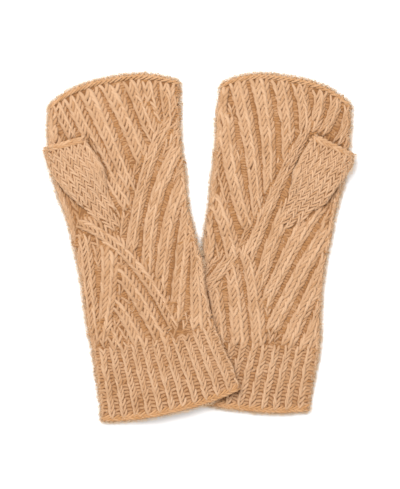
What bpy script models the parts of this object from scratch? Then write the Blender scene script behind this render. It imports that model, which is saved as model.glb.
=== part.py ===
"""A pair of fingerless mittens in knitted wool, laid flat, one corner over the other.

Each mitten is a flattened knitted tube with an open top, an open hem and an open thumb.
Metres, +Z up, the underside on Z = 0, the finger openings towards +Y.
"""

import math

import bmesh
import bpy
import numpy as np

# The tables below are a plan of the laid-out pair seen from above.
# Plan x runs to the right and plan y runs down, towards the hems.
PLAN_UNIT = 0.00073
PLAN_CENTRE = (199.24, 247.5)

# The knitted wall and the flattened tube.
WALL = 0.0027
INSIDE_GAP = 0.0006
HALF = WALL + INSIDE_GAP / 2
SEAM = 0.0003
RIB_CREST = 0.0007
RIB_VALLEY = -0.0005
RIB_POWER = 3.0
SIDE_FADE = 0.0035

# The two knit regions and the bound-off edges.
CUFF_ROWS = 3
CUFF_RIBS = 11
TOP_EDGE_DEPTH = 0.0033
THUMB_EDGE_DEPTH = 0.0030
EDGE_BULGE = 0.0006
BOW_POWER = 2.6

# The thumb lies on the front of the hand.
THUMB_WALL = 0.0025
THUMB_HALF = 0.00285
SEAM_ANGLE = math.radians(70)
THUMB_CLEAR = 0.0015
THUMB_FADE = 0.0035
CROTCH_ROW = 4

# The left mitten rises over the edge of the right one that it covers.
LIFT = 2 * HALF + RIB_CREST + SEAM
LIFT_FALL = 0.026
LIFT_MARGIN = 0.001
COVERED_EDGE = ((202.0, 254.0), (159.0, 420.0))

# Mesh fineness.
HAND_ROWS = 44
HAND_COLUMNS = 36
CUFF_STEPS = 8
CUFF_STEPS_PER_RIB = 4
BACK_COLUMNS = 12
INNER_ROWS = 22
INNER_CUFF_ROWS = 6
INNER_COLUMNS = 12
FOLD_STEPS = 5
THUMB_STEPS = 18
CURVE_STEPS = 16

WOOL = (0.72, 0.46, 0.27, 1.0)

# Sections from hem to finger opening.
SECTION = ("left_x", "left_y", "right_x", "right_y", "bow")
LEFT_SECTIONS = (
    (102.0, 420.0, 239.5, 388.0, -7.5),
    (99.5, 398.0, 232.5, 367.0, -6.0),
    (96.0, 374.0, 224.0, 349.0, -4.5),
    (92.5, 350.0, 214.5, 326.0, -3.5),
    (88.0, 329.0, 209.0, 305.0, -2.0),
    (84.5, 307.0, 205.0, 285.0, -1.0),
    (82.0, 285.0, 203.0, 263.0, 0.0),
    (77.5, 263.0, 197.0, 243.0, 0.0),
    (72.5, 240.0, 191.5, 221.0, 0.0),
    (66.0, 216.0, 187.0, 199.0, 0.0),
    (57.5, 194.0, 185.5, 176.0, 0.5),
    (51.5, 172.0, 182.5, 155.0, 1.5),
    (49.0, 150.0, 180.0, 133.0, 3.5),
    (48.0, 128.0, 180.0, 109.0, 9.0),
    (49.0, 107.0, 179.5, 83.0, 17.0),
)
RIGHT_SECTIONS = (
    (169.0, 392.0, 308.5, 409.5, -8.0),
    (177.0, 371.0, 312.0, 387.0, -6.5),
    (184.0, 351.0, 315.5, 366.0, -5.0),
    (190.0, 333.0, 319.0, 349.0, -3.5),
    (195.0, 312.0, 320.0, 329.0, -2.0),
    (198.5, 291.0, 320.5, 308.0, -1.0),
    (201.0, 269.0, 322.0, 286.0, 0.0),
    (203.0, 248.0, 325.0, 264.0, 0.0),
    (205.5, 226.0, 330.0, 242.0, 0.0),
    (209.0, 203.0, 334.0, 219.0, 0.0),
    (211.0, 182.0, 339.5, 197.0, 0.5),
    (213.5, 160.0, 344.5, 176.0, 1.5),
    (216.0, 138.0, 348.0, 153.0, 3.5),
    (216.5, 114.0, 350.0, 130.0, 9.5),
    (221.0, 84.5, 350.5, 106.0, 18.0),
)

# The thumb gore and thumb, from the gore's tip to the opening.
# The rise is how far the top of the thumb stands over the front of the hand.
THUMB = ("left_x", "left_y", "right_x", "right_y", "rise")
LEFT_THUMB = (
    (110.0, 230.0, 121.0, 223.0, 0.0),
    (98.0, 221.0, 114.0, 208.0, 0.0),
    (86.0, 211.0, 109.0, 192.0, 0.0008),
    (75.0, 202.0, 106.5, 180.0, 0.0032),
    (61.5, 187.0, 104.0, 168.0, 0.0057),
    (49.5, 170.0, 98.0, 157.0, 0.0057),
    (45.5, 157.0, 90.0, 146.0, 0.0057),
    (45.5, 148.0, 83.5, 137.0, 0.0057),
)
RIGHT_THUMB = (
    (279.0, 220.0, 290.0, 229.0, 0.0),
    (283.5, 206.0, 302.0, 220.0, 0.0),
    (288.0, 193.0, 314.0, 211.0, 0.0008),
    (291.0, 182.0, 325.0, 204.0, 0.0032),
    (293.0, 171.0, 335.5, 190.0, 0.0057),
    (299.0, 158.0, 348.0, 174.0, 0.0057),
    (306.0, 146.0, 353.0, 163.0, 0.0057),
    (315.0, 135.0, 352.5, 154.0, 0.0057),
)

# Ribs of the hand, a row for each, from its upper end through its middle to its lower end.
RIB = ("x0", "y0", "x1", "y1", "x2", "y2", "width0", "width2")
LEFT_RIBS = (
    (52.0, 114.0, 53.0, 130.0, 57.0, 146.0, 9.0, 9.0),
    (58.0, 104.0, 64.0, 119.0, 72.0, 136.0, 13.0, 13.0),
    (71.0, 99.0, 97.0, 151.0, 127.0, 206.0, 16.0, 14.0),
    (88.0, 92.0, 110.5, 141.0, 131.0, 188.0, 20.0, 13.0),
    (107.0, 84.0, 125.0, 119.0, 142.0, 159.0, 18.0, 17.0),
    (129.0, 78.0, 141.0, 108.0, 153.0, 137.0, 17.0, 13.0),
    (148.0, 78.0, 152.0, 103.0, 160.0, 130.0, 16.0, 12.0),
    (166.0, 79.0, 167.0, 102.0, 169.0, 124.0, 17.0, 12.0),
    (179.0, 100.0, 176.0, 120.0, 168.0, 142.0, 10.0, 12.0),
    (181.0, 142.0, 155.0, 203.0, 148.0, 271.0, 15.0, 14.0),
    (183.0, 184.0, 168.0, 228.0, 160.0, 293.0, 16.0, 14.0),
    (187.0, 210.0, 181.0, 258.0, 175.0, 318.0, 13.0, 16.0),
    (193.0, 238.0, 196.0, 280.0, 198.0, 326.0, 9.0, 18.0),
    (169.0, 121.0, 147.0, 170.0, 131.0, 247.0, 13.0, 13.0),
    (81.0, 223.0, 131.0, 258.0, 173.0, 324.0, 14.0, 14.0),
    (84.0, 238.0, 89.0, 278.0, 94.0, 333.0, 12.0, 13.0),
    (108.0, 248.0, 108.0, 287.0, 101.0, 340.0, 19.0, 14.0),
    (119.0, 272.0, 143.0, 305.0, 164.0, 347.0, 17.0, 17.0),
    (113.0, 300.0, 129.0, 322.0, 143.0, 352.0, 13.0, 17.0),
    (107.0, 323.0, 114.0, 338.0, 122.0, 358.0, 12.0, 15.0),
)
RIGHT_RIBS = (
    (224.0, 90.0, 222.0, 106.0, 225.0, 122.0, 9.0, 10.0),
    (225.0, 118.0, 232.0, 171.0, 247.0, 224.0, 17.0, 16.0),
    (236.0, 82.0, 250.0, 147.0, 257.0, 215.0, 18.0, 13.0),
    (258.0, 80.0, 267.0, 137.0, 268.0, 190.0, 19.0, 13.0),
    (279.0, 82.0, 287.0, 130.0, 284.0, 173.0, 17.0, 12.0),
    (298.0, 86.0, 304.0, 116.0, 300.0, 144.0, 14.0, 12.0),
    (319.0, 92.0, 318.0, 110.0, 311.0, 129.0, 14.0, 13.0),
    (335.0, 98.0, 332.0, 115.0, 322.0, 132.0, 13.0, 12.0),
    (348.0, 108.0, 345.0, 126.0, 337.0, 142.0, 11.0, 10.0),
    (304.0, 134.0, 276.0, 190.0, 249.0, 254.0, 10.0, 14.0),
    (243.0, 247.0, 252.0, 284.0, 258.0, 342.0, 13.0, 16.0),
    (301.0, 185.0, 278.0, 228.0, 259.0, 284.0, 18.0, 13.0),
    (318.0, 206.0, 291.0, 249.0, 265.0, 304.0, 18.0, 14.0),
    (328.0, 227.0, 301.0, 272.0, 272.0, 328.0, 16.0, 16.0),
    (327.0, 258.0, 308.0, 299.0, 287.0, 344.0, 13.0, 17.0),
    (321.0, 304.0, 313.0, 330.0, 302.0, 354.0, 9.0, 18.0),
    (214.0, 196.0, 225.0, 226.0, 232.0, 255.0, 16.0, 16.0),
    (207.0, 224.0, 211.0, 241.0, 208.0, 258.0, 7.0, 9.0),
    (234.0, 250.0, 222.0, 268.0, 208.0, 286.0, 12.0, 14.0),
    (231.0, 266.0, 236.0, 300.0, 239.0, 342.0, 14.0, 20.0),
    (213.0, 284.0, 217.0, 309.0, 220.0, 338.0, 14.0, 15.0),
    (201.0, 284.0, 202.0, 309.0, 203.0, 336.0, 12.0, 13.0),
)


def rows_at(table, row):
    """Values between the rows of a table, smoothly, for row numbers that need not be whole."""
    table = np.asarray(table, float)
    last = len(table) - 1
    row = np.clip(np.asarray(row, float), 0, last)
    k = np.minimum(row.astype(int), last - 1)
    f = (row - k)[..., None]
    p0, p1 = table[np.maximum(k - 1, 0)], table[k]
    p2, p3 = table[k + 1], table[np.minimum(k + 2, last)]
    even = 2 * p1 + (p2 - p0) * f
    return 0.5 * (even + (2 * p0 - 5 * p1 + 4 * p2 - p3) * f**2 + (3 * p1 - p0 - 3 * p2 + p3) * f**3)


def named(columns, values):
    """The values of a row, or of many rows, under the names of their columns."""
    return dict(zip(columns, np.moveaxis(np.asarray(values, float), -1, 0)))


def smooth(x):
    """A soft step from 0 to 1."""
    x = np.clip(x, 0, 1)
    return x * x * (3 - 2 * x)


def to_world(plan):
    """Plan points in metres, with the plan's centre at the origin."""
    plan = np.asarray(plan, float)
    x = (plan[..., 0] - PLAN_CENTRE[0]) * PLAN_UNIT
    y = (PLAN_CENTRE[1] - plan[..., 1]) * PLAN_UNIT
    return np.stack([x, y], axis=-1)


def edges(section):
    """The two plan points at the ends of a section or of many, in metres."""
    left = to_world(np.stack([section["left_x"], section["left_y"]], axis=-1))
    return left, to_world(np.stack([section["right_x"], section["right_y"]], axis=-1))


def segment_distance(points, start, end):
    """Distance of each point from a straight piece, and how far along it the nearest place is."""
    step = end - start
    along = np.clip(((points - start) @ step) / (step @ step), 0, 1)
    nearest = start + along[..., None] * step
    return np.linalg.norm(points - nearest, axis=-1), along


def line_distance(points, line):
    """Distance of each point from a chain of straight pieces."""
    pairs = zip(line[:-1], line[1:])
    return np.min([segment_distance(points, a, b)[0] for a, b in pairs], axis=0)


def inside(points, outline):
    """Whether each point is inside a closed outline."""
    hit = np.zeros(points.shape[:-1], bool)
    for a, b in zip(outline, np.roll(outline, -1, axis=0)):
        spans = (a[1] > points[..., 1]) != (b[1] > points[..., 1])
        rise = b[1] - a[1] if b[1] != a[1] else 1e-12
        cross = a[0] + (points[..., 1] - a[1]) * (b[0] - a[0]) / rise
        hit ^= spans & (points[..., 0] < cross)
    return hit


def rib_curve(rib):
    """Points along one rib and its half width at each."""
    rib = named(RIB, rib)
    ends = to_world([(rib["x0"], rib["y0"]), (rib["x1"], rib["y1"]), (rib["x2"], rib["y2"])])
    t = np.linspace(0, 1, CURVE_STEPS)[:, None]
    middle = 2 * ends[1] - (ends[0] + ends[2]) / 2
    curve = (1 - t) ** 2 * ends[0] + 2 * t * (1 - t) * middle + t**2 * ends[2]
    half = (rib["width0"] + (rib["width2"] - rib["width0"]) * t[:, 0]) * PLAN_UNIT / 2
    return curve, half


def rib_height(points, ribs):
    """Height of the ribbed front over its middle level: crests on the ribs, valleys between."""
    best = np.zeros(points.shape[:-1])
    for rib in ribs:
        curve, half = rib_curve(rib)
        for k in range(len(curve) - 1):
            distance, along = segment_distance(points, curve[k], curve[k + 1])
            width = half[k] + (half[k + 1] - half[k]) * along
            best = np.maximum(best, 1 - np.clip(distance / width, 0, 1) ** RIB_POWER)
    return RIB_VALLEY + (RIB_CREST - RIB_VALLEY) * best


def lift_at(points):
    """How far the left mitten is raised where it lies on the right one."""
    start, end = to_world(COVERED_EDGE)
    distance, along = segment_distance(points, start, end)
    step = end - start
    side = step[0] * (points[..., 1] - start[1]) - step[1] * (points[..., 0] - start[0])
    covered = (side > 0) & (along > 0)
    away = np.where(covered, 0, np.maximum(distance - LIFT_MARGIN, 0))
    return LIFT * (1 - smooth(away / LIFT_FALL))


class Mitten:
    """One mitten: its tables and whether it lies over the other."""

    def __init__(self, name, sections, thumb, ribs, over):
        self.name, self.sections, self.thumb = name, sections, thumb
        self.ribs, self.over = ribs, over
        self.rows = len(sections) - 1

    def row_from_top(self, distance):
        """The row number at a distance below the finger opening."""
        return self.rows - distance / self.pitch(self.rows - 1)

    def pitch(self, row):
        """The distance between the middles of a section and the next."""
        left, right = edges(named(SECTION, self.sections[row:row + 2]))
        middle = (left + right) / 2
        return np.linalg.norm(middle[1] - middle[0])

    def lift(self, points):
        """The floor that this mitten lies on."""
        return lift_at(points) if self.over else np.zeros(points.shape[:-1])


def around(columns):
    """Places round a flattened tube: 0 to 1 front, 1 to 2 right fold, 2 to 3 back, 3 to 4 left fold."""
    front = np.linspace(0, 1, columns + 1)
    right = 1 + np.linspace(0, 1, FOLD_STEPS + 1)[1:-1]
    back = 2 + np.linspace(0, 1, BACK_COLUMNS + 1)
    left = 3 + np.linspace(0, 1, FOLD_STEPS + 1)[1:-1]
    return np.concatenate([front, right, back, left])


def inner_around():
    """Places round the inside of a flattened tube, with one point in each fold."""
    front = np.linspace(0, 1, INNER_COLUMNS + 1)
    back = 2 + np.linspace(0, 1, INNER_COLUMNS + 1)
    return np.concatenate([front, [1.5], back, [3.5]])


def tube_grid(mitten, rows, places, depth):
    """Points of a flattened tube, a line for each row and a column for each place round it."""
    row, place = np.meshgrid(rows, places, indexing="ij")
    section = named(SECTION, rows_at(mitten.sections, row))
    left, right = edges(section)
    bow = section["bow"] * PLAN_UNIT
    width = np.linalg.norm(right - left, axis=-1)
    across = (right - left) / width[..., None]
    up = np.stack([-across[..., 1], across[..., 0]], axis=-1)
    side, part = np.floor(place), place - np.floor(place)
    angle = math.pi * (0.5 - part)
    flat, turn = width - 2 * HALF, (HALF - depth) * np.cos(angle)
    a = np.select([side == 0, side == 1, side == 2], [
        HALF + part * flat, width - HALF + turn, width - HALF - part * flat], HALF - turn)
    lean = np.select([side == 0, side == 1, side == 2], [1, np.sin(angle), -1], -np.sin(angle))
    share = np.abs(2 * a / width - 1)
    plan = left + across * a[..., None] + up * (bow * (1 - share**BOW_POWER))[..., None]
    height = HALF + (HALF - depth) * lean + mitten.lift(plan)
    edge = smooth(np.minimum(a, width - a) / SIDE_FADE - HALF / SIDE_FADE)
    front = np.where(side == 0, edge, 0)
    return np.concatenate([plan, height[..., None]], axis=-1), front


def zip_loops(first, second, places_first, places_second):
    """Triangles between two closed loops of points that need not be equally many."""
    faces, i, j = [], 0, 0
    n, m = len(first), len(second)
    while i < n or j < m:
        next_first = places_first[i + 1] if i + 1 < n else 4.0
        next_second = places_second[j + 1] if j + 1 < m else 4.0
        if j >= m or (i < n and next_first <= next_second):
            faces.append((first[i], first[(i + 1) % n], second[j % m]))
            i += 1
        else:
            faces.append((second[(j + 1) % m], second[j], first[i % n]))
            j += 1
    return faces


def grid_faces(offset, rows, columns, closed):
    """Quads of a grid of points; closed joins the last column to the first."""
    faces = []
    for r in range(rows - 1):
        for c in range(columns if closed else columns - 1):
            d = (c + 1) % columns
            a, b = offset + r * columns, offset + (r + 1) * columns
            faces.append((a + c, a + d, b + d, b + c))
    return faces


def add_object(name, points, faces):
    """A closed mesh object with outward faces and its own wool material."""
    mesh = bpy.data.meshes.new(name)
    mesh.from_pydata([tuple(map(float, p)) for p in points], [], faces)
    shape = bmesh.new()
    shape.from_mesh(mesh)
    bmesh.ops.recalc_face_normals(shape, faces=shape.faces)
    bmesh.ops.triangulate(shape, faces=shape.faces)
    shape.to_mesh(mesh)
    shape.free()
    thing = bpy.data.objects.new(name, mesh)
    bpy.context.scene.collection.objects.link(thing)
    wool = bpy.data.materials.new(name + "_wool")
    wool.use_nodes = True
    shader = wool.node_tree.nodes["Principled BSDF"]
    shader.inputs["Base Color"].default_value = WOOL
    shader.inputs["Roughness"].default_value = 0.95
    mesh.materials.append(wool)
    return thing


def tube_object(name, outer, inner, places, inner_places):
    """A knitted tube between an outer and an inner grid of points."""
    rows, columns = outer.shape[:2]
    inner_rows, inner_columns = inner.shape[:2]
    start = rows * columns
    points = np.concatenate([outer.reshape(-1, 3), inner.reshape(-1, 3)])
    faces = grid_faces(0, rows, columns, True)
    faces += [f[::-1] for f in grid_faces(start, inner_rows, inner_columns, True)]
    for row, inner_row in ((0, 0), (rows - 1, inner_rows - 1)):
        first = [row * columns + c for c in range(columns)]
        second = [start + inner_row * inner_columns + c for c in range(inner_columns)]
        faces += zip_loops(first, second, places, inner_places)
    return add_object(name, points, faces)


def thumb_frames(mitten, rows):
    """Core ends, seam angle and top of the thumb at each of its rows."""
    section = named(THUMB, rows_at(mitten.thumb, rows))
    left, right = edges(section)
    rise = np.clip(section["rise"], 0, 2 * THUMB_HALF)
    angle = np.arcsin(np.clip(1 - rise / THUMB_HALF, -1, math.sin(SEAM_ANGLE)))
    angle = np.where(rows >= CROTCH_ROW, -math.pi / 2, angle)
    top = 2 * HALF + SEAM + THUMB_HALF * (1 - np.sin(angle))
    across = (right - left) / np.linalg.norm(right - left, axis=1)[:, None]
    inset = THUMB_HALF * np.cos(np.maximum(angle, 0))
    return left + across * inset[:, None], right - across * inset[:, None], across, angle, top


def thumb_outline(mitten):
    """The plan outline of the thumb and its gore."""
    rows = np.linspace(0, len(mitten.thumb) - 1, THUMB_STEPS)
    left, right = edges(named(THUMB, rows_at(mitten.thumb, rows)))
    return np.concatenate([left, right[::-1]])


def front_height(mitten, points):
    """Rib height on the front of the hand, level where the thumb lies on it."""
    outline = thumb_outline(mitten)
    closed = np.concatenate([outline, outline[:1]])
    away = np.where(inside(points, outline), 0, line_distance(points, closed))
    return rib_height(points, mitten.ribs) * smooth((away - THUMB_CLEAR) / THUMB_FADE)


def make_hand(mitten):
    """The hand of one mitten, with a hole where the thumb gore is set in."""
    start = CUFF_ROWS + SEAM / mitten.pitch(CUFF_ROWS)
    end = mitten.row_from_top(TOP_EDGE_DEPTH + SEAM)
    rows, places = np.linspace(start, end, HAND_ROWS + 1), around(HAND_COLUMNS)
    outer, front = tube_grid(mitten, rows, places, 0)
    outer[..., 2] += front * front_height(mitten, outer[..., :2])
    inner_rows = np.linspace(start, end, INNER_ROWS + 1)
    inner, _ = tube_grid(mitten, inner_rows, inner_around(), WALL)
    hand = tube_object(mitten.name + "_hand", outer, inner, places, inner_around())
    cut = hand.modifiers.new("thumb hole", "BOOLEAN")
    cut.operation, cut.solver = "DIFFERENCE", "EXACT"
    cut.object = make_hole_cutter(mitten)
    return hand


def make_hole_cutter(mitten):
    """A prism through the front wall only, a seam's width outside the gore."""
    rows = np.linspace(0, CROTCH_ROW, 2 * CROTCH_ROW + 1)
    left, right, across, angle, _ = thumb_frames(mitten, rows)
    reach = (THUMB_HALF * np.cos(angle) + SEAM)[:, None]
    left_line, right_line = left - across * reach, right + across * reach
    down = np.array([across[0][1], -across[0][0]]) * SEAM
    left_line[0] += down
    right_line[0] += down
    outline = np.concatenate([left_line, right_line[::-1]])
    count = len(outline)
    low, high = HALF, 4 * HALF
    points = [(x, y, low) for x, y in outline] + [(x, y, high) for x, y in outline]
    faces = [tuple(range(count))[::-1], tuple(range(count, 2 * count))]
    faces += [(i, (i + 1) % count, count + (i + 1) % count, count + i) for i in range(count)]
    cutter = add_object(mitten.name + "_thumb_hole_cutter", points, faces)
    cutter.hide_render = True
    cutter.display_type = "WIRE"
    return cutter


def make_cuff(mitten):
    """The ribbed cuff from the hem up."""
    end = CUFF_ROWS
    rows = np.linspace(0, end, CUFF_STEPS + 1)
    places = around(CUFF_RIBS * CUFF_STEPS_PER_RIB)
    outer, front = tube_grid(mitten, rows, places, 0)
    wave = 0.5 - 0.5 * np.cos(2 * math.pi * CUFF_RIBS * places)
    ribs = RIB_VALLEY + (RIB_CREST - RIB_VALLEY) * wave
    fade = np.ones(len(rows))
    fade[0] = 0
    outer[..., 2] += front * ribs[None, :] * fade[:, None]
    inner_rows = np.linspace(0, end, INNER_CUFF_ROWS + 1)
    inner, _ = tube_grid(mitten, inner_rows, inner_around(), WALL)
    return tube_object(mitten.name + "_cuff", outer, inner, places, inner_around())


def make_top_edge(mitten):
    """The bound-off edge round the finger opening: a low rounded bead."""
    start = mitten.row_from_top(TOP_EDGE_DEPTH)
    places = around(HAND_COLUMNS)
    share = np.array([0.0, 0.15, 0.5, 0.85, 1.0])
    bead = np.array([0.0, 0.7, 1.0, 0.6, -0.9]) * EDGE_BULGE
    rows = start + (mitten.rows - start) * share
    outer, front = tube_grid(mitten, rows, places, 0)
    outer[..., 2] += front * bead[:, None]
    inner, _ = tube_grid(mitten, rows[[0, 2, 4]], inner_around(), WALL)
    return tube_object(mitten.name + "_top_edge", outer, inner, places, inner_around())


def thumb_loop(frame, depth):
    """One row of the thumb: left side, front and right side, then the back where it is closed."""
    left, right, across, angle, top = frame
    radius = THUMB_HALF - depth
    centre = top - THUMB_HALF
    turns = np.linspace(angle, math.pi / 2, FOLD_STEPS)
    points = [(*(left - across * radius * math.cos(t)), centre + radius * math.sin(t)) for t in turns]
    for part in np.linspace(0, 1, INNER_COLUMNS + 1)[1:-1]:
        points.append((*(left + (right - left) * part), centre + radius))
    for t in turns[::-1]:
        points.append((*(right + across * radius * math.cos(t)), centre + radius * math.sin(t)))
    back = []
    for part in np.linspace(0, 1, INNER_COLUMNS + 1)[1:-1]:
        back.append((*(right + (left - right) * part), centre - radius))
    return points, back


def thumb_points(mitten, rows, depth):
    """Front and back grids of the thumb for the outer or the inner face."""
    left, right, across, angle, top = thumb_frames(mitten, rows)
    loops = [thumb_loop((left[k], right[k], across[k], angle[k], top[k]), depth) for k in range(len(rows))]
    return [loop[0] for loop in loops], [loop[1] for loop in loops]


def thumb_end_row(mitten, distance):
    """The thumb's row number at a distance below its opening."""
    left, right = edges(named(THUMB, mitten.thumb[-2:]))
    middle = (left + right) / 2
    return len(mitten.thumb) - 1 - distance / np.linalg.norm(middle[1] - middle[0])


def make_thumb(mitten):
    """The gore set into the hand, rising into the open tube of the thumb."""
    end = thumb_end_row(mitten, THUMB_EDGE_DEPTH + SEAM)
    below = np.linspace(0, CROTCH_ROW, THUMB_STEPS // 2 + 1)
    above = np.linspace(CROTCH_ROW, end, THUMB_STEPS // 2)[1:]
    rows = np.concatenate([below, above])
    points, index = [], {}
    for layer, depth in (("outer", 0), ("inner", THUMB_WALL)):
        fronts, backs = thumb_points(mitten, rows, depth)
        for k, row in enumerate(rows):
            loop = fronts[k] + (backs[k] if row >= CROTCH_ROW else [])
            index[layer, k] = list(range(len(points), len(points) + len(loop)))
            points += loop
    return add_object(mitten.name + "_thumb", points, thumb_faces(rows, index))


def thumb_faces(rows, index):
    """Faces of the thumb: open strips below the crotch, closed rings above, and the rims."""
    faces = []
    last = len(rows) - 1
    front = FOLD_STEPS * 2 + INNER_COLUMNS - 1
    for k in range(last):
        ring = rows[k] >= CROTCH_ROW
        for layer in ("outer", "inner"):
            a, b = index[layer, k], index[layer, k + 1]
            count = len(a) if ring else front - 1
            for c in range(count):
                d = (c + 1) % len(a) if ring else c + 1
                faces.append((a[c], a[d], b[d], b[c]))
        if not ring:
            for c in (0, front - 1):
                quad = (index["outer", k][c], index["outer", k + 1][c])
                faces.append(quad + (index["inner", k + 1][c], index["inner", k][c]))
    crotch = int(np.argmax(rows >= CROTCH_ROW))
    for k, cells in ((0, range(front - 1)), (last, range(len(index["outer", last])))):
        faces += rim_faces(index, k, cells)
    total = len(index["outer", crotch])
    return faces + rim_faces(index, crotch, range(front - 1, total))


def rim_faces(index, k, cells):
    """Faces that join the outer and inner points of one row."""
    outer, inner = index["outer", k], index["inner", k]
    n = len(outer)
    return [(outer[c], outer[(c + 1) % n], inner[(c + 1) % n], inner[c]) for c in cells]


def make_thumb_edge(mitten):
    """The bound-off edge round the thumb opening: a low rounded bead."""
    start = thumb_end_row(mitten, THUMB_EDGE_DEPTH)
    last = len(mitten.thumb) - 1
    share = np.array([0.0, 0.2, 0.6, 1.0])
    bead = np.array([0.0, 0.8, 1.0, -0.6]) * EDGE_BULGE
    rows = start + (last - start) * share
    points, index = [], {}
    for layer, depth in (("outer", 0), ("inner", THUMB_WALL)):
        fronts, backs = thumb_points(mitten, rows, depth)
        for k in range(len(rows)):
            height = bead[k] if layer == "outer" else 0
            loop = [(x, y, z + height * (i >= FOLD_STEPS - 1) * (i <= FOLD_STEPS + INNER_COLUMNS - 1))
                    for i, (x, y, z) in enumerate(fronts[k])] + backs[k]
            index[layer, k] = list(range(len(points), len(points) + len(loop)))
            points += loop
    faces = []
    for k in range(len(rows) - 1):
        for layer in ("outer", "inner"):
            a, b = index[layer, k], index[layer, k + 1]
            faces += [(a[c], a[(c + 1) % len(a)], b[(c + 1) % len(a)], b[c]) for c in range(len(a))]
    for k in (0, len(rows) - 1):
        faces += rim_faces(index, k, range(len(index["outer", k])))
    return add_object(mitten.name + "_thumb_edge", points, faces)


def main():
    for thing in list(bpy.data.objects):
        bpy.data.objects.remove(thing, do_unlink=True)
    pair = (
        Mitten("left", LEFT_SECTIONS, LEFT_THUMB, LEFT_RIBS, True),
        Mitten("right", RIGHT_SECTIONS, RIGHT_THUMB, RIGHT_RIBS, False),
    )
    for mitten in pair:
        make_cuff(mitten)
        make_hand(mitten)
        make_top_edge(mitten)
        make_thumb(mitten)
        make_thumb_edge(mitten)


main()
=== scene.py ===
# %% [markdown]
# # A pair of hand-knit fingerless mittens
# Two wool mittens lie flat on a pale table, seen from straight above, one lower corner over the other.
# Knitted cloth is made of loops, and a loop of yarn shows on the right side as a V.
# This lesson lays each leg of each V by rule: along ribs, round folds, and in chains at the edges.

# %% Load the frame
import math

import bpy
import numpy as np
from mathutils import Matrix
from mathutils.bvhtree import BVHTree


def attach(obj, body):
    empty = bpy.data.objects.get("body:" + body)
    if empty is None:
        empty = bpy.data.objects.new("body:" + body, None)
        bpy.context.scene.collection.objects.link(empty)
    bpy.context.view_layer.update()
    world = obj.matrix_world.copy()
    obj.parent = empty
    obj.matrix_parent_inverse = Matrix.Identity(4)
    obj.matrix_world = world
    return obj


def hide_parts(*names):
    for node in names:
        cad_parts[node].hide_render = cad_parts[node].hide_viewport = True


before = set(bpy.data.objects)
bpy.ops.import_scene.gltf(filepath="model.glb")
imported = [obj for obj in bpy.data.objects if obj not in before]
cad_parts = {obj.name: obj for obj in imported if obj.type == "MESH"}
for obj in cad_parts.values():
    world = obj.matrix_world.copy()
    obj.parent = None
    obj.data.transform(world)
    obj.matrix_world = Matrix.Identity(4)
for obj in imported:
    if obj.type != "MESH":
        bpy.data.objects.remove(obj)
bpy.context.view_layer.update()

print("solids in the frame:", len(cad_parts))

# %% [markdown]
# ## The measures of the mittens
# These are the sizes that the solids were made with, so that the yarn lies on the same forms.
# Everything is in metres except the plan tables, which are drawn in plan units as the pair is seen from above.

# %% Sizes of the cloth
PLAN_UNIT = 0.00073
PLAN_CENTRE = (199.24, 247.5)

WALL = 0.0027
HALF = 0.003
SEAM = 0.0003
RIB_CREST = 0.0007
RIB_VALLEY = -0.0005
RIB_POWER = 2.4
SIDE_FADE = 0.0035

CUFF_ROWS = 3
CUFF_RIBS = 11
CUFF_DEPTH = 0.5
TOP_FADE = 0.006
TOP_LEVEL = 0.010
BOW_POWER = 2.6

THUMB_WALL = 0.0025
THUMB_HALF = 0.00285
SEAM_ANGLE = math.radians(70)
THUMB_CLEAR = 0.0015
THUMB_FADE = 0.0035
CROTCH_ROW = 4

LIFT = 2 * HALF + RIB_CREST + SEAM
LIFT_FALL = 0.026
LIFT_MARGIN = 0.001
COVERED_EDGE = ((202.0, 254.0), (159.0, 420.0))

# %% [markdown]
# ## The plan of the pair
# A flattened tube is told by its sections: where the left and right folds are, and how the line between bows.
# The ribs of the hand travel, so each one is three places on its way and its width at both ends.
# A rib with 1 in its last column is a spine: its stitches lie over the ribs that end against it.

# %% Sections of the two tubes, from hem to finger opening
# Each row: left fold x and y, right fold x and y, and the bow of the line between them.
LEFT_SECTIONS = (
    (102, 420, 239.5, 388, -7.5),
    (99.5, 398, 232.5, 367, -6),
    (96, 374, 224, 349, -4.5),
    (92.5, 350, 214.5, 326, -3.5),
    (88, 329, 209, 305, -2),
    (84.5, 307, 205, 285, -1),
    (82, 285, 203, 263, 0),
    (77.5, 263, 197, 243, 0),
    (72.5, 240, 191.5, 221, 0),
    (66, 216, 187, 199, 0),
    (57.5, 194, 185.5, 176, 0.5),
    (51.5, 172, 182.5, 155, 1.5),
    (49, 150, 180, 133, 3.5),
    (48, 128, 180, 109, 9),
    (49, 107, 179.5, 83, 17),
)
RIGHT_SECTIONS = (
    (169, 392, 308.5, 409.5, -8),
    (177, 371, 312, 387, -6.5),
    (184, 351, 315.5, 366, -5),
    (190, 333, 319, 349, -3.5),
    (195, 312, 320, 329, -2),
    (198.5, 291, 320.5, 308, -1),
    (201, 269, 322, 286, 0),
    (203, 248, 325, 264, 0),
    (205.5, 226, 330, 242, 0),
    (209, 203, 334, 219, 0),
    (211, 182, 339.5, 197, 0.5),
    (213.5, 160, 344.5, 176, 1.5),
    (216, 138, 348, 153, 3.5),
    (216.5, 114, 350, 130, 9.5),
    (221, 84.5, 350.5, 106, 18),
)

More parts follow.
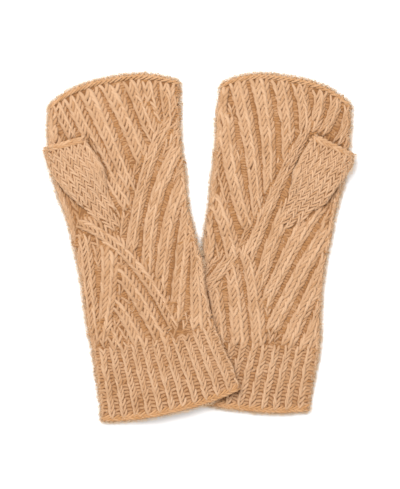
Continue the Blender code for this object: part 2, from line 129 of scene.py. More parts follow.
# %% Thumbs, from the tip of the gore to the opening
# Each row: left side x and y, right side x and y, and how far the thumb has risen off the hand, in metres.
LEFT_THUMB = (
    (110, 230, 121, 223, 0),
    (98, 221, 114, 208, 0),
    (86, 211, 109, 192, 0.0008),
    (75, 202, 106.5, 180, 0.0032),
    (61.5, 187, 104, 168, 0.0057),
    (49.5, 170, 98, 157, 0.0057),
    (45.5, 157, 90, 146, 0.0057),
    (45.5, 148, 83.5, 137, 0.0057),
)
RIGHT_THUMB = (
    (279, 220, 290, 229, 0),
    (283.5, 206, 302, 220, 0),
    (288, 193, 314, 211, 0.0008),
    (291, 182, 325, 204, 0.0032),
    (293, 171, 335.5, 190, 0.0057),
    (299, 158, 348, 174, 0.0057),
    (306, 146, 353, 163, 0.0057),
    (315, 135, 352.5, 154, 0.0057),
)

# %% Ribs of the hands, from upper end through middle to lower end
# Each row: x and y of the upper end, the middle and the lower end, both widths, and 1 for a spine.
SPINE = 8
LEFT_RIBS = (
    (52, 114, 53, 130, 57, 146, 9, 9, 0),
    (58, 104, 64, 119, 72, 136, 13, 13, 0),
    (71, 99, 97, 151, 127, 206, 16, 14, 0),
    (88, 92, 110.5, 141, 131, 188, 20, 13, 0),
    (107, 84, 125, 119, 142, 159, 18, 17, 0),
    (129, 78, 141, 108, 153, 137, 17, 13, 0),
    (148, 78, 152, 103, 160, 130, 16, 12, 0),
    (166, 79, 167, 102, 169, 124, 17, 12, 0),
    (179, 100, 176, 120, 168, 142, 10, 12, 0),
    (181, 142, 155, 203, 148, 271, 15, 14, 0),
    (183, 184, 168, 228, 160, 293, 16, 14, 0),
    (187, 210, 181, 258, 175, 318, 13, 16, 0),
    (193, 238, 196, 280, 198, 326, 9, 18, 0),
    (169, 121, 147, 170, 131, 247, 13, 13, 1),
    (81, 223, 131, 258, 173, 324, 14, 14, 1),
    (84, 238, 89, 278, 94, 333, 12, 13, 0),
    (108, 248, 108, 287, 101, 340, 19, 14, 0),
    (119, 272, 143, 305, 164, 347, 17, 17, 0),
    (113, 300, 129, 322, 143, 352, 13, 17, 0),
    (107, 323, 114, 338, 122, 358, 12, 15, 0),
)
RIGHT_RIBS = (
    (224, 90, 222, 106, 225, 122, 9, 10, 0),
    (225, 118, 232, 171, 247, 224, 17, 16, 0),
    (236, 82, 250, 147, 257, 215, 18, 13, 0),
    (258, 80, 267, 137, 268, 190, 19, 13, 0),
    (279, 82, 287, 130, 284, 173, 17, 12, 0),
    (298, 86, 304, 116, 300, 144, 14, 12, 0),
    (319, 92, 318, 110, 311, 129, 14, 13, 0),
    (335, 98, 332, 115, 322, 132, 13, 12, 0),
    (348, 108, 345, 126, 337, 142, 11, 10, 0),
    (304, 134, 276, 190, 249, 254, 10, 14, 1),
    (243, 247, 252, 284, 258, 342, 13, 16, 1),
    (301, 185, 278, 228, 259, 284, 18, 13, 0),
    (318, 206, 291, 249, 265, 304, 18, 14, 0),
    (328, 227, 301, 272, 272, 328, 16, 16, 0),
    (327, 258, 308, 299, 287, 344, 13, 17, 0),
    (321, 304, 313, 330, 302, 354, 9, 18, 0),
    (214, 196, 225, 226, 232, 255, 16, 16, 0),
    (207, 224, 211, 241, 208, 258, 7, 9, 0),
    (234, 250, 222, 268, 208, 286, 12, 14, 0),
    (231, 266, 236, 300, 239, 342, 14, 20, 0),
    (213, 284, 217, 309, 220, 338, 14, 15, 0),
    (201, 284, 202, 309, 203, 336, 12, 13, 0),
)
print("ribs:", len(LEFT_RIBS), "on the left mitten,", len(RIGHT_RIBS), "on the right one")

# %% [markdown]
# ## From tables to places
# A smooth curve through the rows of a table gives the section at any height of the tube.
# A place round the tube is one number: 0 to 1 on the front, 1 to 2 round the right fold,
# 2 to 3 on the back and 3 to 4 round the left fold.

# %% Reading a table between its rows
def rows_at(table, row):
    """Values between the rows of a table, smoothly."""
    table = np.asarray(table, float)
    last = len(table) - 1
    row = np.clip(np.asarray(row, float), 0, last)
    k = np.minimum(row.astype(int), last - 1)
    f = (row - k)[..., None]
    p0, p1 = table[np.maximum(k - 1, 0)], table[k]
    p2, p3 = table[k + 1], table[np.minimum(k + 2, last)]
    even = 2 * p1 + (p2 - p0) * f
    return 0.5 * (even + (2 * p0 - 5 * p1 + 4 * p2 - p3) * f**2 + (3 * p1 - p0 - 3 * p2 + p3) * f**3)


def unit(v):
    """Vectors of length one."""
    return v / np.maximum(np.linalg.norm(v, axis=-1), 1e-12)[..., None]


def square_to(v, other):
    """Directions turned square to others of length one."""
    return unit(v - other * np.sum(v * other, axis=-1)[:, None])


def lengths(points):
    """How far along a chain of points each one is."""
    return np.concatenate([[0], np.cumsum(np.linalg.norm(np.diff(points, axis=0), axis=1))])


def smooth(x):
    """A soft step from 0 to 1."""
    x = np.clip(x, 0, 1)
    return x * x * (3 - 2 * x)


def to_world(plan):
    """Plan points in metres."""
    plan = np.asarray(plan, float)
    x = (plan[..., 0] - PLAN_CENTRE[0]) * PLAN_UNIT
    y = (PLAN_CENTRE[1] - plan[..., 1]) * PLAN_UNIT
    return np.stack([x, y], axis=-1)


def edges(section):
    """The left and right end of a section, or of many, in metres, and the last number of its row."""
    return to_world(section[..., 0:2]), to_world(section[..., 2:4]), section[..., 4]


def middle_lengths(table):
    """How far along its middle line each row of a table is."""
    left, right, _ = edges(np.asarray(table, float))
    return lengths((left + right) / 2)


print("the left hem runs from", *(end.round(3) for end in edges(np.array(LEFT_SECTIONS[0]))[:2]))


# %% Distances in the plan
def segment_distance(points, start, end):
    """Distance of each point from a straight piece, and how far along it the nearest place is."""
    step = end - start
    along = np.clip(((points - start) @ step) / (step @ step), 0, 1)
    return np.linalg.norm(points - (start + along[..., None] * step), axis=-1), along


def line_distance(points, line):
    """Distance of each point from a chain of straight pieces."""
    return np.min([segment_distance(points, a, b)[0] for a, b in zip(line[:-1], line[1:])], axis=0)


def inside(points, outline):
    """Whether each point is inside a closed outline."""
    hit = np.zeros(points.shape[:-1], bool)
    for a, b in zip(outline, np.roll(outline, -1, axis=0)):
        spans = (a[1] > points[..., 1]) != (b[1] > points[..., 1])
        rise = b[1] - a[1] if b[1] != a[1] else 1e-12
        hit ^= spans & (points[..., 0] < a[0] + (points[..., 1] - a[1]) * (b[0] - a[0]) / rise)
    return hit


# %% [markdown]
# ## The form under the yarn
# The cloth's middle level follows the solids. The left mitten rises where it lies on the right one.
# The ribs stand up on the front, and the cloth is level beside and under the thumb.

# %% Height of the ribs and of the covered corner
RIB_STEPS = 16


def rib_curve(rib, steps=RIB_STEPS):
    """Points along one rib and its half width at each, from its upper to its lower end."""
    ends, t = to_world(np.reshape(rib[:6], (3, 2))), np.linspace(0, 1, steps)[:, None]
    middle = 2 * ends[1] - (ends[0] + ends[2]) / 2
    curve = (1 - t) ** 2 * ends[0] + 2 * t * (1 - t) * middle + t**2 * ends[2]
    return curve, (rib[6] + (rib[7] - rib[6]) * t[:, 0]) * PLAN_UNIT / 2


def rib_height(points, ribs):
    """How high each point stands on the ribbed front: 0 in the valleys and 1 on the crests."""
    best = np.zeros(points.shape[:-1])
    for rib in ribs:
        curve, half = rib_curve(rib)
        for k in range(len(curve) - 1):
            distance, along = segment_distance(points, curve[k], curve[k + 1])
            width = half[k] + (half[k + 1] - half[k]) * along
            best = np.maximum(best, 1 - np.clip(distance / width, 0, 1) ** RIB_POWER)
    return best


def lift_at(points):
    """How far the left mitten is raised where it lies on the right one."""
    start, end = to_world(COVERED_EDGE)
    distance, along = segment_distance(points, start, end)
    step = end - start
    side = step[0] * (points[..., 1] - start[1]) - step[1] * (points[..., 0] - start[0])
    away = np.where((side > 0) & (along > 0), 0, np.maximum(distance - LIFT_MARGIN, 0))
    return LIFT * (1 - smooth(away / LIFT_FALL))


print("the covered corner raises the left mitten", round(LIFT * 1000, 1), "mm")


# %% One mitten and the places round its tube
class Mitten:
    """One mitten: its tables and whether it lies over the other."""

    def __init__(self, name, sections, thumb, ribs, over):
        self.name, self.sections, self.thumb = name, sections, thumb
        self.ribs, self.over = ribs, over
        self.rows = len(sections) - 1
        self.heights = middle_lengths(sections)

    def row_at_height(self, height):
        """The section number at a distance above the hem."""
        return np.interp(height, self.heights, np.arange(self.rows + 1))

    def height_at_row(self, row):
        """The distance above the hem of a section number."""
        return np.interp(row, np.arange(self.rows + 1), self.heights)


def tube_points(mitten, row, place, depth=0.0):
    """Points of the flattened tube at section numbers and places round it, and how far each is on the front."""
    left, right, bow = edges(rows_at(mitten.sections, row))
    width = np.linalg.norm(right - left, axis=-1)
    across = (right - left) / width[..., None]
    up = np.stack([-across[..., 1], across[..., 0]], axis=-1)
    place = np.mod(place, 4)
    side, part = np.floor(place), place - np.floor(place)
    angle = math.pi * (0.5 - part)
    flat, turn = width - 2 * HALF, (HALF - depth) * np.cos(angle)
    a = np.select([side == 0, side == 1, side == 2], [
        HALF + part * flat, width - HALF + turn, width - HALF - part * flat], HALF - turn)
    lean = np.select([side == 0, side == 1, side == 2], [1, np.sin(angle), -1], -np.sin(angle))
    bow = bow * PLAN_UNIT * (1 - np.abs(2 * a / width - 1) ** BOW_POWER)
    plan = left + across * a[..., None] + up * bow[..., None]
    height = HALF + (HALF - depth) * lean + mitten.over * lift_at(plan)
    edge = smooth((np.minimum(a, width - a) - HALF) / SIDE_FADE)
    return np.concatenate([plan, height[..., None]], axis=-1), np.where(side == 0, edge, 0)


def place_round(mitten, row, share):
    """The place for a share of the way round, from the left fold over the front, right fold and back."""
    left, right, _ = edges(rows_at(mitten.sections, row[0]))
    flat, fold = np.linalg.norm(right - left) - 2 * HALF, math.pi * HALF
    stops = np.cumsum([0, fold / 2, flat, fold, flat, fold / 2])
    return np.interp(share * stops[-1], stops, [3.5, 4, 5, 6, 7, 7.5])


# %% The thumb's surface and outline
THUMB_OUTLINE_ROWS = 18


def thumb_points(mitten, row, way, depth=0.0):
    """Points of the thumb at rows and ways over it from its middle line, and how far its surface reaches."""
    left, right, rise = edges(rows_at(mitten.thumb, row))
    rise = np.clip(rise, 0, 2 * THUMB_HALF)
    seam = np.arcsin(np.clip(1 - rise / THUMB_HALF, -1, math.sin(SEAM_ANGLE)))
    seam = np.where(np.asarray(row) >= CROTCH_ROW, -math.pi / 2, seam)
    top = 2 * HALF + SEAM + THUMB_HALF * (1 - np.sin(seam))
    across = (right - left) / np.linalg.norm(right - left, axis=-1)[..., None]
    inset = (THUMB_HALF * np.cos(np.maximum(seam, 0)))[..., None]
    left, right = left + across * inset, right - across * inset
    half = np.linalg.norm(right - left, axis=-1) / 2
    turn = np.clip((np.abs(way) - half) / THUMB_HALF, 0, math.pi)
    under = np.maximum(np.abs(way) - half - math.pi * THUMB_HALF, 0)
    out = np.minimum(np.abs(way), half) + (THUMB_HALF - depth) * np.sin(turn) - under
    plan = (left + right) / 2 + across * (np.sign(way) * out)[..., None]
    height = top - THUMB_HALF + (THUMB_HALF - depth) * np.cos(turn)
    return np.concatenate([plan, height[..., None]], axis=-1), half + THUMB_HALF * (math.pi / 2 - seam)


def thumb_grid(mitten, rows, shares, depth=0.0):
    """A grid of the same, at rows and at shares of the reach."""
    row, share = np.meshgrid(rows, shares, indexing="ij")
    reach = thumb_points(mitten, row, 0 * share)[1]
    return thumb_points(mitten, row, share * reach, depth)[0]


def thumb_away(mitten, points):
    """Distance outside the plan outline of the thumb and its gore, negative inside it."""
    rows = np.linspace(0, len(mitten.thumb) - 1, THUMB_OUTLINE_ROWS)
    left, right, _ = edges(rows_at(mitten.thumb, rows))
    outline = np.concatenate([left, right[::-1]])
    distance = line_distance(points, np.concatenate([outline, outline[:1]]))
    return np.where(inside(points, outline), -distance, distance)


# %% The ribbed skin of the tube
# Steps by row and by place, between which directions are measured.
TUBE_STEPS = (0.05, 0.02)
THUMB_STEPS = (0.06, 0.0002)


def skin_points(mitten, row, place, depth=0.0, valley=RIB_VALLEY):
    """Points of the knitted face, ribs included, with valleys of a given depth."""
    points, front = tube_points(mitten, row, place, depth)
    plan = points[..., :2]
    near_thumb = smooth((thumb_away(mitten, plan) - THUMB_CLEAR) / THUMB_FADE)
    below_top = smooth((mitten.heights[-1] - TOP_LEVEL - mitten.height_at_row(row)) / TOP_FADE + 1)
    hand = (valley + (RIB_CREST - valley) * rib_height(plan, mitten.ribs)) * near_thumb * below_top
    wave = 0.5 - 0.5 * np.cos(2 * math.pi * CUFF_RIBS * place)
    cuff = (CUFF_DEPTH * valley + (RIB_CREST - CUFF_DEPTH * valley) * wave) * smooth(row * 3)
    points[..., 2] += front * np.where(row < CUFF_ROWS, cuff, hand)
    return points


def frames(surface, steps, mitten, row, place):
    """Points of the plain tube or thumb with the direction up the wale and the outward normal."""
    def between(by_row, by_place):
        ends = [surface(mitten, row + sign * by_row, place + sign * by_place)[0] for sign in (-1, 1)]
        return ends[1] - ends[0]
    up, across = between(steps[0], 0), between(0, steps[1])
    return surface(mitten, row, place)[0], unit(up), unit(np.cross(across, up))


def tube_frames(*where):
    """The same for the tube."""
    return frames(tube_points, TUBE_STEPS, *where)


def thumb_frames(*where):
    """The same for the thumb."""
    return frames(thumb_points, THUMB_STEPS, *where)


MITTENS = (
    Mitten("left", LEFT_SECTIONS, LEFT_THUMB, LEFT_RIBS, True),
    Mitten("right", RIGHT_SECTIONS, RIGHT_THUMB, RIGHT_RIBS, False),
)
for mitten in MITTENS:
    print(mitten.name, "mitten is", round(mitten.heights[-1] * 1000), "mm from hem to opening")

# %% [markdown]
# ## Wool
# Camel wool is matt with a soft pale sheen from its loose hairs. Each leg of yarn is two strands twisted
# together, which a slanting wave over the leg's own length and girth gives as bump.
# The cloth behind the legs is the same wool in shade, so it is a darker tone of it.

# %% Nodes that are set and linked in one line
COLOUR_A, COLOUR_B, COLOUR_OUT = 6, 7, 2
NODE_GAP = 200


def feed(tree, socket, value):
    """Link a socket from another one, or set it."""
    if isinstance(value, bpy.types.NodeSocket):
        tree.links.new(value, socket)
    else:
        socket.default_value = value


def fill(tree, made, **values):
    """Set a node's options, then its inputs by name, with _ for a space."""
    given = {name: name.replace("_", " ") in made.inputs for name in values}
    for name, value in values.items():
        if not given[name]:
            setattr(made, name, value)
    for name, value in values.items():
        if given[name]:
            feed(tree, made.inputs[name.replace("_", " ")], value)
    return made


def node(tree, kind, **values):
    """A filled node, to the right of the ones before it."""
    made = tree.nodes.new(kind)
    made.location = (NODE_GAP * len(tree.nodes), 0)
    return fill(tree, made, **values)


def maths(tree, operation, *values):
    """The result of a Math node on sockets or numbers."""
    made = node(tree, "ShaderNodeMath", operation=operation)
    for socket, value in zip(made.inputs, values):
        feed(tree, socket, value)
    return made.outputs[0]


def blend(tree, share, low, high):
    """A colour between two others."""
    made = node(tree, "ShaderNodeMix", data_type="RGBA", Factor=share)
    feed(tree, made.inputs[COLOUR_A], low)
    feed(tree, made.inputs[COLOUR_B], high)
    return made.outputs[COLOUR_OUT]


def noise(tree, place, scale, detail):
    """Cloudy values from 0 to 1."""
    return node(tree, "ShaderNodeTexNoise", Vector=place, Scale=scale, Detail=detail).outputs["Fac"]


def bump(tree, height, strength, distance):
    """A normal that leans with a height."""
    return node(tree, "ShaderNodeBump", Strength=strength, Distance=distance, Height=height).outputs["Normal"]


def wool_material(name, **values):
    """A new material with its tree, its shader set to the values, and the place on the object."""
    made = bpy.data.materials.new(name)
    made.use_nodes = True
    tree = made.node_tree
    shader = fill(tree, tree.nodes["Principled BSDF"], **values)
    return made, tree, shader, node(tree, "ShaderNodeTexCoord").outputs["Object"]


# %% The yarn's material
# Each noise has a scale and a detail, and each bump a strength and a distance.
CLOUDS = (45.0, 3.0)
FIBRES = (2600.0, 2.0)
YARN_BUMP = (0.55, 0.0006)
# A leg's colour runs from the deep to the light one: it varies at random, and it goes deeper where painted shade
# is given for valleys, slopes and right legs.
YARN_LIGHT = (0.55, 0.343, 0.203, 1)
YARN_DEEP = (0.35, 0.166, 0.062, 1)
YARN_EDGE = (0.48, 0.24, 0.092, 1)
CLOUD_SHARE = 0.55
PLY_TURNS = 0.9
PLY_HEIGHT = 0.28


def yarn_material():
    """Plied camel yarn that reads the leg's own attributes."""
    made, tree, shader, place = wool_material(
        "camel_yarn", Roughness=0.92, Specular_IOR_Level=0.18,
        Sheen_Weight=0.22, Sheen_Roughness=0.5, Sheen_Tint=(1.0, 0.86, 0.70, 1))
    along, girth, shade, warm = (node(tree, "ShaderNodeAttribute", attribute_name=name).outputs["Fac"]
                                 for name in ("along", "girth", "shade", "warm"))
    tone = maths(tree, "MULTIPLY_ADD", noise(tree, place, *CLOUDS), CLOUD_SHARE, shade)
    colour = blend(tree, warm, blend(tree, tone, YARN_DEEP, YARN_LIGHT), YARN_EDGE)
    turns = maths(tree, "MULTIPLY_ADD", along, PLY_TURNS, girth)
    ply = maths(tree, "COSINE", maths(tree, "MULTIPLY", turns, 4 * math.pi))
    height = maths(tree, "MULTIPLY_ADD", ply, PLY_HEIGHT, noise(tree, place, *FIBRES))
    fill(tree, shader, Base_Color=colour, Normal=bump(tree, height, *YARN_BUMP))
    return made


YARN = yarn_material()
print("the yarn's material has", len(YARN.node_tree.nodes), "nodes")

# %% The material of the cloth behind the legs
GRAIN = (900.0, 3.0)
LOOP_HEIGHT = 1.6
GROUND_BUMP = (0.7, 0.0005)
GROUND_COLOUR = (0.30, 0.142, 0.058, 1)
GROUND_DARK = tuple(0.7 * c for c in GROUND_COLOUR[:3]) + (1,)


def ground_material():
    """Camel wool in the shade of the stitches, with rows of loops and a fine fibrous grain."""
    made, tree, shader, place = wool_material("camel_ground", Roughness=0.95, Specular_IOR_Level=0.1)
    grain = noise(tree, place, *GRAIN)
    loops = node(tree, "ShaderNodeTexWave", bands_direction="Y", Vector=place, Scale=78.0, Distortion=5.0,
                 Detail=2.0)
    height = maths(tree, "MULTIPLY_ADD", loops.outputs["Fac"], LOOP_HEIGHT, grain)
    fill(tree, shader, Base_Color=blend(tree, grain, GROUND_DARK, GROUND_COLOUR),
         Normal=bump(tree, height, *GROUND_BUMP))
    return made


# %% The material of the loose hairs
HAIR_LIGHT = (0.96, 0.84, 0.68, 1)
HAIR_DEEP = (0.90, 0.74, 0.55, 1)
HAIR_GLOW = 0.65
HAIR_CLOUDS = (300.0, 2.0)


def hair_material():
    """Fine loose hairs: pale, and light shines through them, as through single fibres."""
    made, tree, shader, place = wool_material("camel_hair", Roughness=1.0, Specular_IOR_Level=0.0)
    colour = blend(tree, noise(tree, place, *HAIR_CLOUDS), HAIR_DEEP, HAIR_LIGHT)
    fill(tree, shader, Base_Color=colour)
    both = node(tree, "ShaderNodeMixShader", Fac=HAIR_GLOW)
    feed(tree, both.inputs[1], shader.outputs[0])
    feed(tree, both.inputs[2], node(tree, "ShaderNodeBsdfTranslucent", Color=colour).outputs[0])
    feed(tree, tree.nodes["Material Output"].inputs["Surface"], both.outputs[0])
    return made


GROUND, HAIR = ground_material(), hair_material()
print("materials:", YARN.name, GROUND.name, HAIR.name)

# %% [markdown]
# ## The cloth behind the stitches
# Between the legs of yarn one sees a little of the loops behind them. A thin shell on the form of each solid,
# a yarn's thickness under its face, closes these gaps and the inside of the tube.

# %% Shells
GROUND_DEPTH = 0.0013
GROUND_VALLEY = -0.0008
SHELL_ROWS = 90
SHELL_FRONT = 80
SHELL_BACK = 24
SHELL_FOLD = 6
SHELL_EDGE = 0.0008
THUMB_GRID = 48
THUMB_SHORT = 0.1
THUMB_SIDES = ((0.1, 40, 0.0012), (CROTCH_ROW + 0.3, 14, THUMB_WALL))


def add_object(name, data):
    """A new object in the scene."""
    thing = bpy.data.objects.new(name, data)
    bpy.context.scene.collection.objects.link(thing)
    return thing


def grid_faces(rows, columns, closed=True):
    """Quads of a grid of points, outward when the rows go up and the columns go to the right."""
    faces = []
    for r in range(rows - 1):
        for c in range(columns if closed else columns - 1):
            d = (c + 1) % columns
            faces.append((r * columns + c, r * columns + d, (r + 1) * columns + d, (r + 1) * columns + c))
    return faces


def shell_object(name, outer, inner, pocket=False):
    """A closed shell between an outer and an inner grid of points; a pocket is open at its last row only."""
    (rows, columns), inner_rows = outer.shape[:2], inner.shape[0]
    start, ring = rows * columns, range(columns)
    faces = grid_faces(rows, columns)
    faces += [tuple(start + i for i in f[::-1]) for f in grid_faces(inner_rows, columns)]
    top, inner_top = (rows - 1) * columns, start + (inner_rows - 1) * columns
    faces += [(top + c, top + (c + 1) % columns, inner_top + (c + 1) % columns, inner_top + c) for c in ring]
    if pocket:
        faces += [tuple(reversed(ring)), tuple(start + c for c in ring)]
    else:
        faces += [((c + 1) % columns, c, start + c, start + (c + 1) % columns) for c in ring]
    mesh = bpy.data.meshes.new(name)
    mesh.from_pydata(np.concatenate([outer.reshape(-1, 3), inner.reshape(-1, 3)]).tolist(), [], faces)
    mesh.polygons.foreach_set("use_smooth", [True] * len(mesh.polygons))
    mesh.materials.append(GROUND)
    return add_object(name, mesh)


def round_places(front, fold, back):
    """Places round a tube for a grid with so many steps on each side."""
    parts = [(0, front), (1, fold), (2, back), (3, fold)]
    return np.concatenate([start + np.linspace(0, 1, steps, endpoint=False) for start, steps in parts])


def tube_shell(mitten):
    """The shell of one tube from hem to opening."""
    places = round_places(SHELL_FRONT, SHELL_FOLD, SHELL_BACK)
    row, place = np.meshgrid(np.linspace(0, mitten.rows, SHELL_ROWS), places, indexing="ij")
    edge = SHELL_EDGE * mitten.rows / mitten.heights[-1]
    row = np.clip(row, edge, mitten.rows - edge)
    outer = skin_points(mitten, row, place, GROUND_DEPTH, GROUND_VALLEY)
    inner, _ = tube_points(mitten, row, place, WALL)
    return shell_object(mitten.name + "_cloth", outer, inner)


def thumb_shell(mitten):
    """The shell of one thumb: a low gore on the hand, then a tube that is open at its end."""
    part = np.linspace(-1, 1, THUMB_GRID, endpoint=False)
    end = len(mitten.thumb) - 1 - THUMB_SHORT
    grids = [thumb_grid(mitten, np.linspace(start, end, count), part, depth)
             for start, count, depth in THUMB_SIDES]
    return shell_object(mitten.name + "_thumb_cloth", *grids, pocket=True)


CLOTH = {mitten.name: (tube_shell(mitten), thumb_shell(mitten)) for mitten in MITTENS}
for tube, thumb in CLOTH.values():
    print(tube.name, len(tube.data.polygons), "faces,", thumb.name, len(thumb.data.polygons), "faces")

# %% [markdown]
# ## A leg of yarn, repeated
# Each stitch shows two legs, and each leg is a short spindle that rises from the cloth and dives back under
# the next row. Geometry Nodes make one spindle and put it on a cloud of points, each with its own turn and
# size. The points are worked out below, a group at a time, and one modifier makes each group a mesh.

# %% The tree that puts legs on points
TAPER = 0.6
LEG_INPUTS = (("Sides", "Int", 6), ("Rings", "Int", 6), ("Arch", "Float", 0.45), ("Bow", "Float", 0.25),
              ("End", "Float", 0.42), ("Thick", "Float", 0.5), ("Wool", "Material", YARN))


def marked(tree, geometry, name, value):
    """Geometry whose points carry a value under a name."""
    return node(tree, "GeometryNodeStoreNamedAttribute", data_type="FLOAT", domain="POINT",
                Geometry=geometry, Name=name, Value=value).outputs[0]


def leg_tree():
    """Spindles of yarn on points that carry turn, size, shade and warm."""
    tree = bpy.data.node_groups.new("yarn legs", "GeometryNodeTree")
    for name, in_out in (("Points", "INPUT"), ("Legs", "OUTPUT")):
        tree.interface.new_socket(name=name, in_out=in_out, socket_type="NodeSocketGeometry")
    for name, kind, value in LEG_INPUTS:
        socket = tree.interface.new_socket(name=name, in_out="INPUT", socket_type="NodeSocket" + kind)
        socket.default_value = value
    given = node(tree, "NodeGroupInput").outputs
    line = node(tree, "GeometryNodeCurvePrimitiveLine", Start=(0, -0.5, 0), End=(0, 0.5, 0)).outputs[0]
    line = node(tree, "GeometryNodeResampleCurve", Curve=line, Count=given["Rings"]).outputs[0]
    way = node(tree, "GeometryNodeSplineParameter").outputs["Factor"]
    share = maths(tree, "MULTIPLY_ADD", way, 2.0, -1.0)
    hill = maths(tree, "SUBTRACT", 1.0, maths(tree, "MULTIPLY", share, share))
    offset = node(tree, "ShaderNodeCombineXYZ", X=maths(tree, "MULTIPLY", hill, given["Bow"]),
                  Z=maths(tree, "MULTIPLY", hill, given["Arch"])).outputs[0]
    line = node(tree, "GeometryNodeSetPosition", Geometry=line, Offset=offset).outputs[0]
    radius = maths(tree, "MAXIMUM", maths(tree, "POWER", hill, TAPER), given["End"])
    line = node(tree, "GeometryNodeSetCurveRadius", Curve=line, Radius=radius).outputs[0]
    ring = node(tree, "GeometryNodeCurvePrimitiveCircle", Radius=given["Thick"], Resolution=given["Sides"])
    spindle = node(tree, "GeometryNodeCurveToMesh", Fill_Caps=True, Curve=marked(tree, line, "along", way),
                   Profile_Curve=marked(tree, ring.outputs[0], "girth", way)).outputs[0]
    spindle = node(tree, "GeometryNodeSetShadeSmooth", Geometry=spindle).outputs[0]
    turn = node(tree, "GeometryNodeInputNamedAttribute", data_type="QUATERNION", Name="turn")
    size = node(tree, "GeometryNodeInputNamedAttribute", data_type="FLOAT_VECTOR", Name="size")
    laid = node(tree, "GeometryNodeInstanceOnPoints", Points=given["Points"], Instance=spindle,
                Rotation=turn.outputs["Attribute"], Scale=size.outputs["Attribute"]).outputs[0]
    real = node(tree, "GeometryNodeRealizeInstances", Geometry=laid).outputs[0]
    wool = node(tree, "GeometryNodeSetMaterial", Geometry=real, Material=given["Wool"]).outputs[0]
    feed(tree, node(tree, "NodeGroupOutput").inputs[0], wool)
    return tree


LEG_TREE = leg_tree()
print("leg tree has", len(LEG_TREE.nodes), "nodes")

# %% Groups of legs
RNG = np.random.default_rng(20)
SIZE_CHANCE = (0.91, 1.09)
TONE_CHANCE = 0.13
LEG_COLUMNS = (("turn", "QUATERNION", "value"), ("size", "FLOAT_VECTOR", "vector"),
               ("shade", "FLOAT", "value"), ("warm", "FLOAT", "value"))


class Legs:
    """A growing list of yarn legs: where each is, how it is turned, its size and its tone."""

    def __init__(self):
        self.groups = []

    def add(self, place, along, normal, size, shade=0.5, warm=0.0):
        """Legs with their middles at place, lying along a direction on a surface with that normal."""
        along, count = unit(along), len(place)
        normal = square_to(normal, along)
        turns = [Matrix(axes).transposed().to_quaternion()[:]
                 for axes in zip(np.cross(along, normal), along, normal)]
        sizes = np.broadcast_to(size, (count, 3)) * RNG.uniform(*SIZE_CHANCE, (count, 1))
        shades = np.broadcast_to(shade, count) + RNG.normal(0, TONE_CHANCE, count)
        self.groups.append((place, turns, sizes, shades, np.full(count, float(warm))))

    def make(self, name, **form):
        """One plain mesh piece with all the legs, pressed flat where it meets the table."""
        places, *columns = (np.concatenate(column) for column in zip(*self.groups))
        cloud = bpy.data.meshes.new(name + "_points")
        cloud.from_pydata(places.tolist(), [], [])
        for (column, kind, field), values in zip(LEG_COLUMNS, columns):
            data = cloud.attributes.new(column, kind, "POINT").data
            data.foreach_set(field, values.astype(np.float32).ravel())
        carrier = add_object(name + "_carrier", cloud)
        knit = carrier.modifiers.new("legs", "NODES")
        knit.node_group = LEG_TREE
        for item in LEG_TREE.interface.items_tree:
            if item.name in form:
                knit[item.identifier] = form[item.name]
        mesh = bpy.data.meshes.new_from_object(carrier.evaluated_get(bpy.context.evaluated_depsgraph_get()))
        mesh.name = name
        bpy.data.objects.remove(carrier)
        places = np.zeros(len(mesh.vertices) * 3, np.float32)
        mesh.vertices.foreach_get("co", places)
        places[2::3] = np.maximum(places[2::3], 0)
        mesh.vertices.foreach_set("co", places)
        mesh.calc_loop_triangles()
        print(name, len(mesh.loop_triangles), "triangles")
        return add_object(name, mesh)


# %% [markdown]
# ## Stitches on a surface
# A skin of fine quads on the solid's own form answers where a stitch lies and which way it faces.
# A stitch is two legs, left and right. In the ribs the left legs run nearly straight up the rib and join to a
# bright line, while the right legs slant across, as the photograph shows.

# %% The skin that is asked
SKIN_ROWS = 200
SKIN_FRONT = 130
SKIN_SIDE = 8
SKIN_BACK = 30
THUMB_SKIN = (60, 61)
LOOK_FROM = 0.1
STITCH_ROW = 0.0040
LEG_HEIGHT = 0.0021
FRONT_PROUD = 0.0004
SUNK = 0.95
HUG = 0.34
SKIN_VALLEY = -0.0011


class Skin:
    """The outer face of one tube or thumb, for finding places on it."""

    def __init__(self, points, rows, closed=True):
        self.rows, self.columns = rows, points.shape[1]
        faces = grid_faces(points.shape[0], self.columns, closed)
        self.each = self.columns if closed else self.columns - 1
        self.faces = BVHTree.FromPolygons(points.reshape(-1, 3).tolist(), faces)

    def under(self, plan):
        """For plan points: whether the front is there, the place on it, its normal and its section number."""
        hits = [self.faces.ray_cast((x, y, LOOK_FROM), (0, 0, -1)) for x, y in plan]
        found = np.array([h[0] is not None for h in hits])
        places = np.array([h[0] or (x, y, 0) for h, (x, y) in zip(hits, plan)])
        normals = np.array([h[1] or (0, 0, 1) for h in hits])
        rows = np.array([0 if h[2] is None else self.rows[h[2] // self.each] for h in hits])
        return found, places, normals, rows

    def near(self, points):
        """The nearest place on the skin to each point, and its normal."""
        hits = [self.faces.find_nearest(p) for p in points]
        return np.array([h[0] for h in hits]), np.array([h[1] for h in hits])

    def hug(self, centre, along, length):
        """Middles, directions, normals and lengths of legs whose two ends are brought onto the skin."""
        reach = along * (length * HUG)[:, None]
        low, high = self.near(centre - reach)[0], self.near(centre + reach)[0]
        middle, normal = self.near(centre)
        length = np.linalg.norm(high - low, axis=-1) / (2 * HUG)
        return (low + high + 2 * middle) / 4, unit(high - low), normal, length


def tube_skin(mitten):
    """The skin of one tube, with its ribs a little rounder and deeper than in the solid."""
    rows = np.linspace(0, mitten.rows, SKIN_ROWS)
    row, place = np.meshgrid(rows, round_places(SKIN_FRONT, SKIN_SIDE, SKIN_BACK), indexing="ij")
    return Skin(skin_points(mitten, row, place, valley=SKIN_VALLEY), rows)


